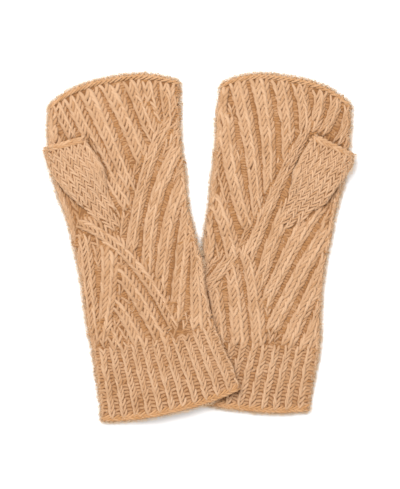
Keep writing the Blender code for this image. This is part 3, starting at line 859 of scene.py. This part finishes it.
def thumb_skin(mitten):
    """The skin of one thumb with its gore, from seam to seam, or most of the way round the tube."""
    rows = np.linspace(0, len(mitten.thumb) - 1, THUMB_SKIN[0])
    return Skin(thumb_grid(mitten, rows, np.linspace(-1, 1, THUMB_SKIN[1])), rows, closed=False)


SKINS = {mitten.name: (tube_skin(mitten), thumb_skin(mitten)) for mitten in MITTENS}
print("the middle of the left mitten's front is", SKINS["left"][0].under([(-0.05, 0.0)])[1].round(4))


# %% A stitch's two legs
LEG_WIDTH = 0.35
LEG_PLACE = 0.25
# Each leg: its side, its length in rows and a tone; the left legs get a painted highlight and the right legs
# painted shade, as for light from the left.
LEG_SIDES = ((-1, 1.42, 0.1), (1, 1.35, -0.1))
LEG_TURN = 5
LEG_STRAY = 0.00018
# A cap on how steep a leg's slope counts for its painted shade.
MOST_SLOPE = 0.3
PURL_THICK = 0.0021
PURL_TURN = 16


def add_stitches(legs, skin, place, up, normal, width, row, lean, proud=FRONT_PROUD, shade=0.5,
                 leg=LEG_WIDTH, slope_painted_shade=0.0):
    """Two legs for each stitch: lean has their degrees from the wale, and the last value paints shade onto legs
    on slopes, more the steeper they lie.
    """
    count = len(place)
    width, row = np.broadcast_to(width, count), np.broadcast_to(row, count)
    up = square_to(up, normal)
    right = unit(np.cross(up, normal))
    for degrees, (side, reach, tone) in zip(lean, LEG_SIDES):
        angle = np.radians(degrees + RNG.normal(0, LEG_TURN, count))[:, None]
        along = up * np.cos(angle) + side * right * np.sin(angle)
        centre = place + side * right * (width * LEG_PLACE)[:, None]
        length = row * reach
        centre, along, face, length = skin.hug(centre, along, length)
        centre = centre + face * (proud - SUNK * LEG_HEIGHT) + RNG.normal(0, LEG_STRAY, (count, 3))
        size = np.stack([width * leg, length, np.full(count, LEG_HEIGHT)], axis=1)
        # A leg's tone: its group's shade, the painted light or shade of its side, and painted shade where it lies
        # on a slope.
        legs.add(centre, along, face, size, shade + tone - slope_painted_shade * np.minimum(1 - face[:, 2], MOST_SLOPE))


def add_purls(legs, place, up, normal, width, proud, shade):
    """A short bump across the wale for each purl stitch, low in its valley."""
    count = len(place)
    up = square_to(up, normal)
    right = unit(np.cross(up, normal))
    angle = np.radians(RNG.normal(0, PURL_TURN, count))[:, None]
    along = -right * np.cos(angle) + up * np.sin(angle)
    size = (PURL_THICK, width, PURL_THICK)
    legs.add(place + normal * (proud - SUNK * PURL_THICK), along, normal, size, shade)


def clear_of(points, taken, distance):
    """Which points are further than a distance from all the taken ones."""
    if not len(taken):
        return np.ones(len(points), bool)
    away = np.linalg.norm(points[:, None, :] - taken[None, :, :], axis=-1).min(axis=1)
    return away > distance


def apart_from(points, groups, distances):
    """Which points are clear of each group by its own distance."""
    return np.all([clear_of(points, taken, distance) for taken, distance in zip(groups, distances)], axis=0)


# %% [markdown]
# ## The hand's ribs
# The ribs come one by one, the spines first. A rib has two columns of stitches, or one where it is narrow.
# A stitch that would lie on one of a rib laid before is left out, so ribs end under the spines as knitted.
# The cloth is knitted slantwise, so the right legs keep nearly one slope while the ribs turn.

# %% Columns of stitches along the ribs
TOP_CLEAR = 0.0050
RIB_FINE_STEPS = 60
RIB_FILL = 1.04
# Painted shade on rib stitches that lie on the slopes of the ribs.
RIB_SLOPE_PAINTED_SHADE = 0.8
NARROW_RIB = 0.0075
STROKE_SLOPE = 28
STROKE_TURN = 0.5
STROKE_LEANS = (16, 44)
LEFT_LEAN = 11
RIB_LEG = 0.40
RIB_APART = 0.0036
RIB_SHADE = 0.46
ANY_SLOPE = -1
LEVEL = 0.75
THUMB_MARGIN = 0.0006
CUFF_MARGIN = 0.02


def rib_stitches(rib):
    """Plan places, directions and widths of one rib's stitches, from its lower end up, and its middle line."""
    curve, half = rib_curve(rib, RIB_FINE_STEPS)
    curve, half = curve[::-1], half[::-1] * RIB_FILL
    way = lengths(curve)
    count = max(2, round(way[-1] / STITCH_ROW))
    at = (np.arange(count) + 0.5) / count * way[-1]
    centre = np.stack([np.interp(at, way, curve[:, i]) for i in (0, 1)], axis=1)
    tangent = unit(np.stack([np.interp(at, way, np.gradient(curve[:, i], way)) for i in (0, 1)], axis=1))
    width = np.interp(at, way, half) * 2
    wales = 1 if width.mean() / RIB_FILL < NARROW_RIB else 2
    right = np.stack([tangent[:, 1], -tangent[:, 0]], axis=1)
    offsets = [(wale - (wales - 1) / 2) * width / wales for wale in range(wales)]
    places = np.concatenate([centre + right * offset[:, None] for offset in offsets])
    return places, np.tile(tangent, (wales, 1)), np.tile(width / wales, wales), (centre, tangent, right, width)


def stroke_lean(tangent):
    """Degrees between a wale and its right legs, which keep nearly one slope on the slanting cloth."""
    slope = np.degrees(np.arctan2(tangent[:, 0], tangent[:, 1]))
    return np.clip(STROKE_SLOPE - (1 - STROKE_TURN) * slope, *STROKE_LEANS)


def on_hand(mitten, found, row, plan, margin):
    """Which places are on the hand, between cuff and chain and a margin away from the thumb."""
    high = mitten.row_at_height(mitten.heights[-1] - TOP_CLEAR)
    return found & (row > CUFF_ROWS + CUFF_MARGIN) & (row < high) & (thumb_away(mitten, plan) > margin)


def flat(tangent):
    """Plan directions as directions in space."""
    return np.concatenate([tangent, np.zeros((len(tangent), 1))], axis=1)


def lay_along(mitten, legs, plan, tangent, width, taken, apart, margin, level, shade):
    """Stitches at plan places, clear of the taken ones and no steeper than a level; gives all taken places."""
    skin = SKINS[mitten.name][0]
    found, place, normal, row = skin.under(plan)
    keep = on_hand(mitten, found, row, plan, margin) & clear_of(place, taken, apart) & (normal[:, 2] > level)
    if keep.any():
        lean = (LEFT_LEAN, stroke_lean(tangent[keep]))
        add_stitches(legs, skin, place[keep], flat(tangent[keep]), normal[keep], width[keep], STITCH_ROW, lean,
                     shade=shade, leg=RIB_LEG, slope_painted_shade=RIB_SLOPE_PAINTED_SHADE)
    return np.concatenate([taken, place[keep]])


def lay_ribs(mitten, legs):
    """All ribs of one hand; gives the places taken and the ribs' middle lines."""
    taken, middles = np.zeros((0, 3)), []
    for rib in sorted(mitten.ribs, key=lambda rib: -rib[SPINE]):
        plan, tangent, width, middle = rib_stitches(rib)
        taken = lay_along(mitten, legs, plan, tangent, width, taken, RIB_APART, THUMB_MARGIN, ANY_SLOPE,
                          RIB_SHADE)
        middles.append(middle)
    return taken, middles


# %% Valleys between the ribs
FILL_AWAY = 0.0032
FILL_WIDE = 0.0044
FILL_APART = 0.0045
FILL_MARGIN = 0.0020
# Stitches in the wide valleys are darker than the ribs: painted shade for the valleys.
FILL_SHADE = 0.30
# Purl bumps in the valleys are much darker than the ribs: painted shade for the valleys.
PURL = dict(width=0.0056, proud=-0.0004, shade=-0.14)
PURL_ENDS = (-0.55, 0.55)
PURL_MARGIN = 0.0005
VALLEY_WALES = (0.0006, 0.0037)
VALLEY_SPOTS = ((-1, -0.25), (-1, 0.25), (1, -0.25), (1, 0.25))
# How far a bump keeps from stitches and from other bumps.
VALLEY_APART = (0.0026, 0.0017)
CUFF_TOP_BUMPS = 24
CUFF_TOP_ROWS = (0.0008, 0.0028)
CUFF_TOP_APART = (0.0025, 0.0016)


def lay_wide_valleys(mitten, legs, middles, taken):
    """A low wale of knit stitches beside a rib where the valley is wide enough for one."""
    for centre, tangent, right, width in middles:
        for side in (-1, 1):
            plan = centre + side * right * (width / 2 / RIB_FILL + FILL_AWAY)[:, None]
            taken = lay_along(mitten, legs, plan, tangent, np.full(len(plan), FILL_WIDE), taken, FILL_APART,
                              FILL_MARGIN, LEVEL, FILL_SHADE)
    return taken


def lay_valleys(mitten, legs, middles, taken):
    """Purl bumps where no stitch is yet: beside each rib, two to a row and two wales wide, and above the cuff."""
    skin, bumps = SKINS[mitten.name][0], np.zeros((0, 3))
    for away in VALLEY_WALES:
        for centre, tangent, right, width in middles:
            for side, part in VALLEY_SPOTS:
                plan = centre + side * right * (width / 2 / RIB_FILL + away)[:, None]
                plan = plan + tangent * part * STITCH_ROW
                found, place, normal, row = skin.under(plan)
                for end in PURL_ENDS:
                    found = found & skin.under(plan + right * end * PURL["width"])[0]
                keep = on_hand(mitten, found, row, plan, PURL_MARGIN) & (normal[:, 2] > LEVEL)
                keep &= apart_from(place, (taken, bumps), VALLEY_APART)
                if keep.any():
                    upright = np.tile((0.0, 0.0, 1.0), (keep.sum(), 1))
                    add_purls(legs, place[keep], flat(tangent[keep]), upright, **PURL)
                    bumps = np.concatenate([bumps, place[keep]])
    share = (np.arange(CUFF_TOP_BUMPS) + 0.5) / CUFF_TOP_BUMPS
    for above in CUFF_TOP_ROWS:
        row = mitten.row_at_height(mitten.heights[CUFF_ROWS] + above + 0 * share)
        point, up, normal = tube_frames(mitten, row, share)
        place = skin.under(point[:, :2])[1]
        keep = apart_from(place, (taken, bumps), CUFF_TOP_APART)
        if keep.any():
            add_purls(legs, place[keep], up[keep], normal[keep], **PURL)
            bumps = np.concatenate([bumps, place[keep]])
    return np.concatenate([taken, bumps])


# %% Wales round the folds and on the back
BACK_RIBS = 5
FOLD_WALES = (1.27, 1.75, 3.25, 3.73)
EDGE_WALES = 36
SEAM_GAP = 0.0005
BUMP_ROW = 0.0022
FOLD_STITCH = dict(width=0.0050, apart=0.0032, lean=(20, 22))
# Front wales where the ribs leave room lie sunk and darker: painted shade for the valleys.
EDGE_STITCH = dict(width=0.0050, apart=0.0031, lean=(14, 26), proud=-0.0003, shade=0.1)
BACK_STITCH = dict(width=0.0062, apart=0, lean=(22, 26), proud=0.0)
# The underside's purl wales are darker than its knit ones: painted shade for their valleys.
BACK_PURL = dict(width=0.0052, proud=-0.0002, shade=0.1)


def stitch_rows(mitten, low, high, row=STITCH_ROW):
    """Section numbers of the knitted rows between two heights above the hem."""
    count = round((high - low) / row)
    return mitten.row_at_height(low + (np.arange(count) + 0.5) / count * (high - low))


def hand_rows(mitten, row=STITCH_ROW):
    """The same from the cuff to the chain at the opening."""
    return stitch_rows(mitten, mitten.heights[CUFF_ROWS] + SEAM_GAP, mitten.heights[-1] - TOP_CLEAR, row)


def wale_frames(mitten, rows, place):
    """One wale's places on the skin, its way up, and the plain tube's and the skin's normals."""
    point, up, plain = tube_frames(mitten, rows, np.full(len(rows), place))
    point, normal = SKINS[mitten.name][0].near(point) if place < 1 else (point, plain)
    return point, up, plain, normal


def lay_wale(mitten, legs, rows, place, taken, width, apart, **more):
    """One column of stitches at a place round the tube; gives the places taken with its own."""
    point, up, _, normal = wale_frames(mitten, rows, place)
    keep = clear_of(point, taken, apart)
    if place < 1:
        keep &= thumb_away(mitten, point[:, :2]) > THUMB_MARGIN
    if keep.any():
        add_stitches(legs, SKINS[mitten.name][0], point[keep], up[keep], normal[keep], width, STITCH_ROW,
                     **more)
    return np.concatenate([taken, point[keep]])


def lay_folds(mitten, legs, taken):
    """Wales round the folds, and where the ribs leave room on the front."""
    rows = hand_rows(mitten)
    for place in FOLD_WALES:
        taken = lay_wale(mitten, legs, rows, place, taken, **FOLD_STITCH)
    for part in (np.arange(EDGE_WALES) + 0.5) / EDGE_WALES:
        taken = lay_wale(mitten, legs, rows, part, taken, **EDGE_STITCH)


def lay_back(mitten, legs):
    """The underside: ribs of two knit wales and a purl one, pressed flat by the table."""
    rows, close = hand_rows(mitten), hand_rows(mitten, BUMP_ROW)
    for k in range(BACK_RIBS * 3):
        place = 2 + (k + 0.5) / (BACK_RIBS * 3)
        if k % 3 == 2:
            add_purls(legs, *wale_frames(mitten, close, place)[:3], **BACK_PURL)
        else:
            lay_wale(mitten, legs, rows, place, np.zeros((0, 3)), **BACK_STITCH)


# %% Cuff ribs
CUFF_ROW = 0.0034
CUFF_STITCH = dict(width=0.0066, row=CUFF_ROW, lean=(12, 28), leg=0.29)
# The cuff's purl wales are darker than its knit ones: painted shade for the valleys between the cuff's ribs.
CUFF_PURL = dict(width=0.0046, proud=0.0, shade=0.1)
CUFF_SIDE_KNITS = [1.5, 3.5]
CUFF_SIDE_PURLS = [0.01, 0.99, 1.98, 3.02]
HEM_CLEAR = 0.0044


def lay_cuff(mitten, legs, back):
    """One knit and one purl wale in turn; each side of the tube is its own group."""
    skin, start = SKINS[mitten.name][0], 2 if back else 0
    top = mitten.heights[CUFF_ROWS] + SEAM_GAP
    knits = [start + (k + 0.5) / CUFF_RIBS for k in range(CUFF_RIBS)]
    purls = [start + k / CUFF_RIBS for k in range(1, CUFF_RIBS)]
    if not back:
        knits += CUFF_SIDE_KNITS
        purls += CUFF_SIDE_PURLS
    for place in knits:
        point, up, _, normal = wale_frames(mitten, stitch_rows(mitten, HEM_CLEAR, top, CUFF_ROW), place)
        add_stitches(legs, skin, point, up, normal, proud=0.0 if back else FRONT_PROUD, **CUFF_STITCH)
    for place in purls:
        point, up, plain, _ = wale_frames(mitten, stitch_rows(mitten, HEM_CLEAR, top, BUMP_ROW), place)
        add_purls(legs, point, up, plain, **CUFF_PURL)


# %% [markdown]
# ## The thumb
# The gore and thumb are plain stocking stitch: even columns of V's that run along the thumb.
# The columns keep their distance, so the gore's slanting seams cut them off one after the other.

# %% Stitches of the thumb
THUMB_WIDE = 0.0049
THUMB_ROW = 0.0037
THUMB_STITCH = dict(width=THUMB_WIDE, row=THUMB_ROW, lean=(22, 26), proud=0.0003)
THUMB_CHAIN = 0.0040
THUMB_WALES = 12
THUMB_UNDER = 0.4 * math.pi * THUMB_HALF
GORE_SEAM = 0.0005


def thumb_row_at(mitten, distance):
    """The thumb's row number at a distance from the gore's tip, and the whole distance to its opening."""
    heights = middle_lengths(mitten.thumb)
    return np.interp(distance, heights, np.arange(len(heights))), heights[-1]


def lay_thumb(mitten, legs):
    """Stocking stitch over the gore and round the thumb, but not between the thumb and the hand."""
    _, length = thumb_row_at(mitten, 0)
    count = round((length - THUMB_CHAIN) / THUMB_ROW)
    rows, _ = thumb_row_at(mitten, (np.arange(count) + 0.5) / count * (length - THUMB_CHAIN))
    for wale in range(THUMB_WALES):
        way = np.full(count, (wale - THUMB_WALES // 2 + 0.5) * THUMB_WIDE)
        point, up, normal = thumb_frames(mitten, rows, way)
        reach = thumb_points(mitten, rows, way)[1]
        keep = np.abs(way) < reach - np.where(rows >= CROTCH_ROW, THUMB_UNDER, GORE_SEAM)
        if keep.any():
            add_stitches(legs, SKINS[mitten.name][1], point[keep], up[keep], normal[keep], **THUMB_STITCH)


# %% [markdown]
# ## Edges
# The finger and thumb openings are bound off: a chain of loops lies along each edge.
# The hem is cast on, which shows as a cord of slanting strands. Edges are a little warmer in tone.

# %% Chains along the openings and the hem
# Each row of strands: its depth from the edge, its slant and its thickness.
TOP_CHAIN = dict(rows=((0.0016, 0.0013, 0.0015),), wall=WALL, warm=0.45)
HEM_CHAIN = dict(rows=((0.0015, 0.0011, 0.0018), (0.0036, -0.0009, 0.0017)), wall=WALL, warm=0.6)
THUMB_EDGE_CHAIN = dict(rows=((0.0013, 0.0008, 0.0021), (0.0031, -0.0007, 0.0021)), wall=THUMB_WALL, warm=0.25)
RING_STEPS = 200
CHAIN_LINK = 0.0039
LINK_START = 0.1
LINK_REACH = 0.55
LINK_OVERLAP = 1.1
LINK_TONES = (0.2, 0.7)
CHAIN_PROUD = 0.0005
FACE_STEP = 0.001
RIM_START = 0.6
RIM_ENDS = (0.65, 0.35)
RIM_STEP = 0.003
RIM_THICK = 0.0015
RIM_WIDE = 0.8
RIM_TONE = 0.45


def tube_edge(mitten, top):
    """The finger opening's edge or the hem: its points by share of the way round and two depths."""
    def edge(share, depth, under):
        row = mitten.row_at_height((mitten.heights[-1] - depth if top else depth) + 0 * share)
        return tube_points(mitten, row, place_round(mitten, row, np.mod(share, 1)), under)[0]
    return edge


def thumb_edge(mitten):
    """The thumb opening's edge in the same way."""
    def edge(share, depth, under):
        row, _ = thumb_row_at(mitten, thumb_row_at(mitten, 0)[1] - depth + 0 * share)
        half_way = 2 * thumb_points(mitten, row, 0 * share)[1] - math.pi * THUMB_HALF
        return thumb_points(mitten, row, (2 * np.mod(share, 1) - 1) * half_way, under)[0]
    return edge


def add_links(legs, low, high, face, wide, thick, proud, tone, warm):
    """Strands from low to high places on a face."""
    length = np.linalg.norm(high - low, axis=1) * LINK_OVERLAP
    size = np.stack([0 * length + wide, length, 0 * length + thick], axis=1)
    legs.add((low + high) / 2 + face * (proud - SUNK * thick), unit(high - low), face, size, tone, warm)


def lay_edge(legs, edge, rows, wall, warm):
    """A chain on the face beside an edge, and strands over its rim from the inner side to the outer one."""
    count = round(lengths(edge(np.linspace(0, 1, RING_STEPS), 0.0, 0.0))[-1] / CHAIN_LINK)
    share, reach = (np.arange(count) + LINK_START) / count, LINK_REACH / count
    for depth, slant, thick in rows:
        low, high = edge(share - reach, depth + slant, 0.0), edge(share + reach, depth - slant, 0.0)
        face = unit(edge(share, depth, 0.0) - edge(share, depth, FACE_STEP))
        add_links(legs, low, high, face, thick, thick, CHAIN_PROUD, RNG.choice(LINK_TONES, count), warm)
    share = (np.arange(count) + RIM_START) / count
    low, high = edge(share - reach, 0.0, RIM_ENDS[0] * wall), edge(share + reach, 0.0, RIM_ENDS[1] * wall)
    outward = unit(edge(share, 0.0, wall / 2) - edge(share, RIM_STEP, wall / 2))
    add_links(legs, low, high, outward, RIM_WIDE * wall, RIM_THICK, 0.0, RIM_TONE, warm)


# %% [markdown]
# ## Loose hairs
# Hand-knit wool has a halo of fine hairs, thickest to the eye where one looks along the cloth at its outline.
# Each hair is a thin bent spindle with one end in the yarn, and its thickness goes with its length. Most stand
# at the folds and edges, some on the front, and none where one mitten lies on the other.

# %% Hairs
HAIR_THICK = 0.030
HAIR_LENGTH = (0.0014, 0.0042)
HAIR_PLACES = ((1.5, 0.3, 2500), (3.5, 0.3, 2500), (0.5, 0.49, 500))
EDGE_HAIRS = 1500
EDGE_DEPTH = 0.0005
EDGE_STEP = 0.004
THUMB_HAIRS = 900
THUMB_HAIR_ROW = 2.5
THUMB_HAIR_POWER = 0.3
HAIR_ROOT = 0.0003
HAIR_OUT = 0.4
HAIR_LEVEL = (1.0, 1.0, 0.5)
HAIR_SPREAD = 0.7
THUMB_SPREAD = 0.5
HAIR_MEET = 0.0015
HAIR_TONE = 0.9
OUTLINE_ROWS = 40


def add_hairs(hairs, point, outward, spread):
    """Hairs from points, leaning about an outward direction."""
    count = len(point)
    way = unit(outward + RNG.normal(0, spread, (count, 3)))
    length = RNG.uniform(*HAIR_LENGTH, count)
    size = np.repeat(length[:, None], 3, axis=1)
    middle = point + way * (length * HAIR_OUT)[:, None]
    hairs.add(middle, way, unit(RNG.normal(0, 1, (count, 3))), size, HAIR_TONE)


def tube_outline(mitten):
    """The plan outline of one mitten's tube, closed."""
    rows = np.linspace(0, mitten.rows, OUTLINE_ROWS)
    left, right = tube_points(mitten, rows, 0 * rows)[0], tube_points(mitten, rows, 0 * rows + 1)[0]
    return np.concatenate([left, right[::-1], left[:1]])[:, :2]


def grow_hairs(mitten, other, hairs, thumb_hairs):
    """The halo of one mitten, not where it meets the other one."""
    outline = tube_outline(other)
    for place, spread, count in HAIR_PLACES:
        row = RNG.uniform(0, mitten.rows, count)
        point, _, normal = tube_frames(mitten, row, place + RNG.uniform(-spread, spread, count))
        keep = ~inside(point[:, :2], outline) & (line_distance(point[:, :2], outline) > HAIR_MEET)
        point, normal = point[keep], normal[keep]
        add_hairs(hairs, point - normal * HAIR_ROOT, normal * HAIR_LEVEL, HAIR_SPREAD)
    for edge in (tube_edge(mitten, True), tube_edge(mitten, False)):
        share, under = RNG.uniform(0, 1, EDGE_HAIRS), RNG.uniform(0, WALL, EDGE_HAIRS)
        point = edge(share, EDGE_DEPTH, under)
        keep = ~inside(point[:, :2], outline)
        add_hairs(hairs, point[keep], unit(point - edge(share, EDGE_STEP, under))[keep], HAIR_SPREAD)
    row = RNG.uniform(THUMB_HAIR_ROW, len(mitten.thumb) - 1, THUMB_HAIRS)
    way = RNG.uniform(-1, 1, THUMB_HAIRS)
    reach = thumb_points(mitten, row, way * 0)[1] - 0.5 * math.pi * THUMB_HALF
    point, _, normal = thumb_frames(mitten, row, np.sign(way) * np.abs(way) ** THUMB_HAIR_POWER * reach)
    keep = ~inside(point[:, :2], tube_outline(mitten))
    add_hairs(thumb_hairs, point[keep] - normal[keep] * HAIR_ROOT, normal[keep], THUMB_SPREAD)


# %% Knit both mittens
UNDER_FORM = dict(Sides=5, Rings=5)
HAIR_FORM = dict(Sides=3, Rings=3, Arch=0.25, Bow=0.15, Thick=HAIR_THICK, Wool=HAIR)
PIECES = {}
for mitten, other in zip(MITTENS, MITTENS[::-1]):
    front, side, back, edging, thumb, thumb_edging, hairs, thumb_hairs = (Legs() for _ in range(8))
    taken, middles = lay_ribs(mitten, front)
    print(mitten.name, "mitten:", len(taken), "stitches on", len(middles), "ribs")
    taken = lay_wide_valleys(mitten, side, middles, taken)
    taken = lay_valleys(mitten, side, middles, taken)
    lay_folds(mitten, side, taken)
    lay_cuff(mitten, front, back=False)
    lay_cuff(mitten, back, back=True)
    lay_back(mitten, back)
    lay_thumb(mitten, thumb)
    lay_edge(edging, tube_edge(mitten, True), **TOP_CHAIN)
    lay_edge(edging, tube_edge(mitten, False), **HEM_CHAIN)
    lay_edge(thumb_edging, thumb_edge(mitten), **THUMB_EDGE_CHAIN)
    grow_hairs(mitten, other, hairs, thumb_hairs)
    name = mitten.name
    PIECES[name] = {
        "tube": [front.make(name + "_rib_stitches"), side.make(name + "_side_stitches"),
                 back.make(name + "_underside_stitches", **UNDER_FORM), edging.make(name + "_edge_chains"),
                 hairs.make(name + "_hairs", **HAIR_FORM)],
        "thumb": [thumb.make(name + "_thumb_stitches"), thumb_edging.make(name + "_thumb_chain"),
                  thumb_hairs.make(name + "_thumb_hairs", **HAIR_FORM)],
    }

# %% [markdown]
# ## Joining the frame
# Each shell stands for the solids of its tube, which are hidden, and all the pieces join one body.
# The stitches lie on it and go where it goes.

# %% Hidden solids and bodies
TUBE_NODES = ("_cuff", "_hand", "_top_edge")
THUMB_NODES = ("_thumb", "_thumb_edge")
for mitten in MITTENS:
    tube, thumb = CLOTH[mitten.name]
    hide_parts(*(mitten.name + node_name for node_name in TUBE_NODES))
    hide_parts(*(mitten.name + node_name for node_name in THUMB_NODES))
    for piece in (tube, thumb, *PIECES[mitten.name]["tube"], *PIECES[mitten.name]["thumb"]):
        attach(piece, "root")
    rest = ["floor", "right_cloth"] if mitten.over else ["floor"]
    print(tube.name, "rests on", rest, "and", thumb.name, "on it")

# %% [markdown]
# ## Table, light and camera
# The pair was photographed from straight above on white. White light comes from all round, and a softbox above
# the upper left shades the valleys and throws a faint shadow.

# %% Floor
FLOOR_SIZE = 8.0
FLOOR_DROP = 0.0002
PAPER = (0.93, 0.93, 0.93, 1)
floor_mesh = bpy.data.meshes.new("floor")
corner = FLOOR_SIZE / 2
floor_mesh.from_pydata([(-corner, -corner, 0), (corner, -corner, 0), (corner, corner, 0), (-corner, corner, 0)],
                       [], [(0, 1, 2, 3)])
floor = add_object("floor", floor_mesh)
floor.location.z = -FLOOR_DROP
paper = bpy.data.materials.new("white_paper")
paper.use_nodes = True
fill(paper.node_tree, paper.node_tree.nodes["Principled BSDF"], Base_Color=PAPER, Roughness=0.9)
floor_mesh.materials.append(paper)

# %% Lights
WORLD_POWER = 0.88
KEY_PLACE = (-0.3, 0.5, 1.35)
KEY_SIZE = 0.9
KEY_POWER = 23
world = bpy.data.worlds.new("studio")
bpy.context.scene.world = world
world.use_nodes = True
fill(world.node_tree, world.node_tree.nodes["Background"], Color=(1, 1, 1, 1), Strength=WORLD_POWER)
x, y, z = KEY_PLACE
light = bpy.data.lights.new("key", "AREA")
light.size, light.energy = KEY_SIZE, KEY_POWER
key = add_object("key", light)
key.location = KEY_PLACE
key.rotation_euler = (math.atan2(math.hypot(x, y), z), 0, math.atan2(y, x) + math.pi / 2)
bpy.context.scene.view_settings.view_transform = "Standard"

# %% Camera
FRAME_UNITS = (400, 489)
LENS = 250.0
SENSOR = 36.0
FAR = 20
lens = bpy.data.cameras.new("camera")
lens.lens, lens.sensor_width, lens.clip_end = LENS, SENSOR, FAR
camera = add_object("camera", lens)
middle = to_world((FRAME_UNITS[0] / 2, FRAME_UNITS[1] / 2))
camera.location = (middle[0], middle[1], FRAME_UNITS[1] * PLAN_UNIT * LENS / SENSOR)
bpy.context.scene.camera = camera
print("camera height", round(camera.location.z, 3))
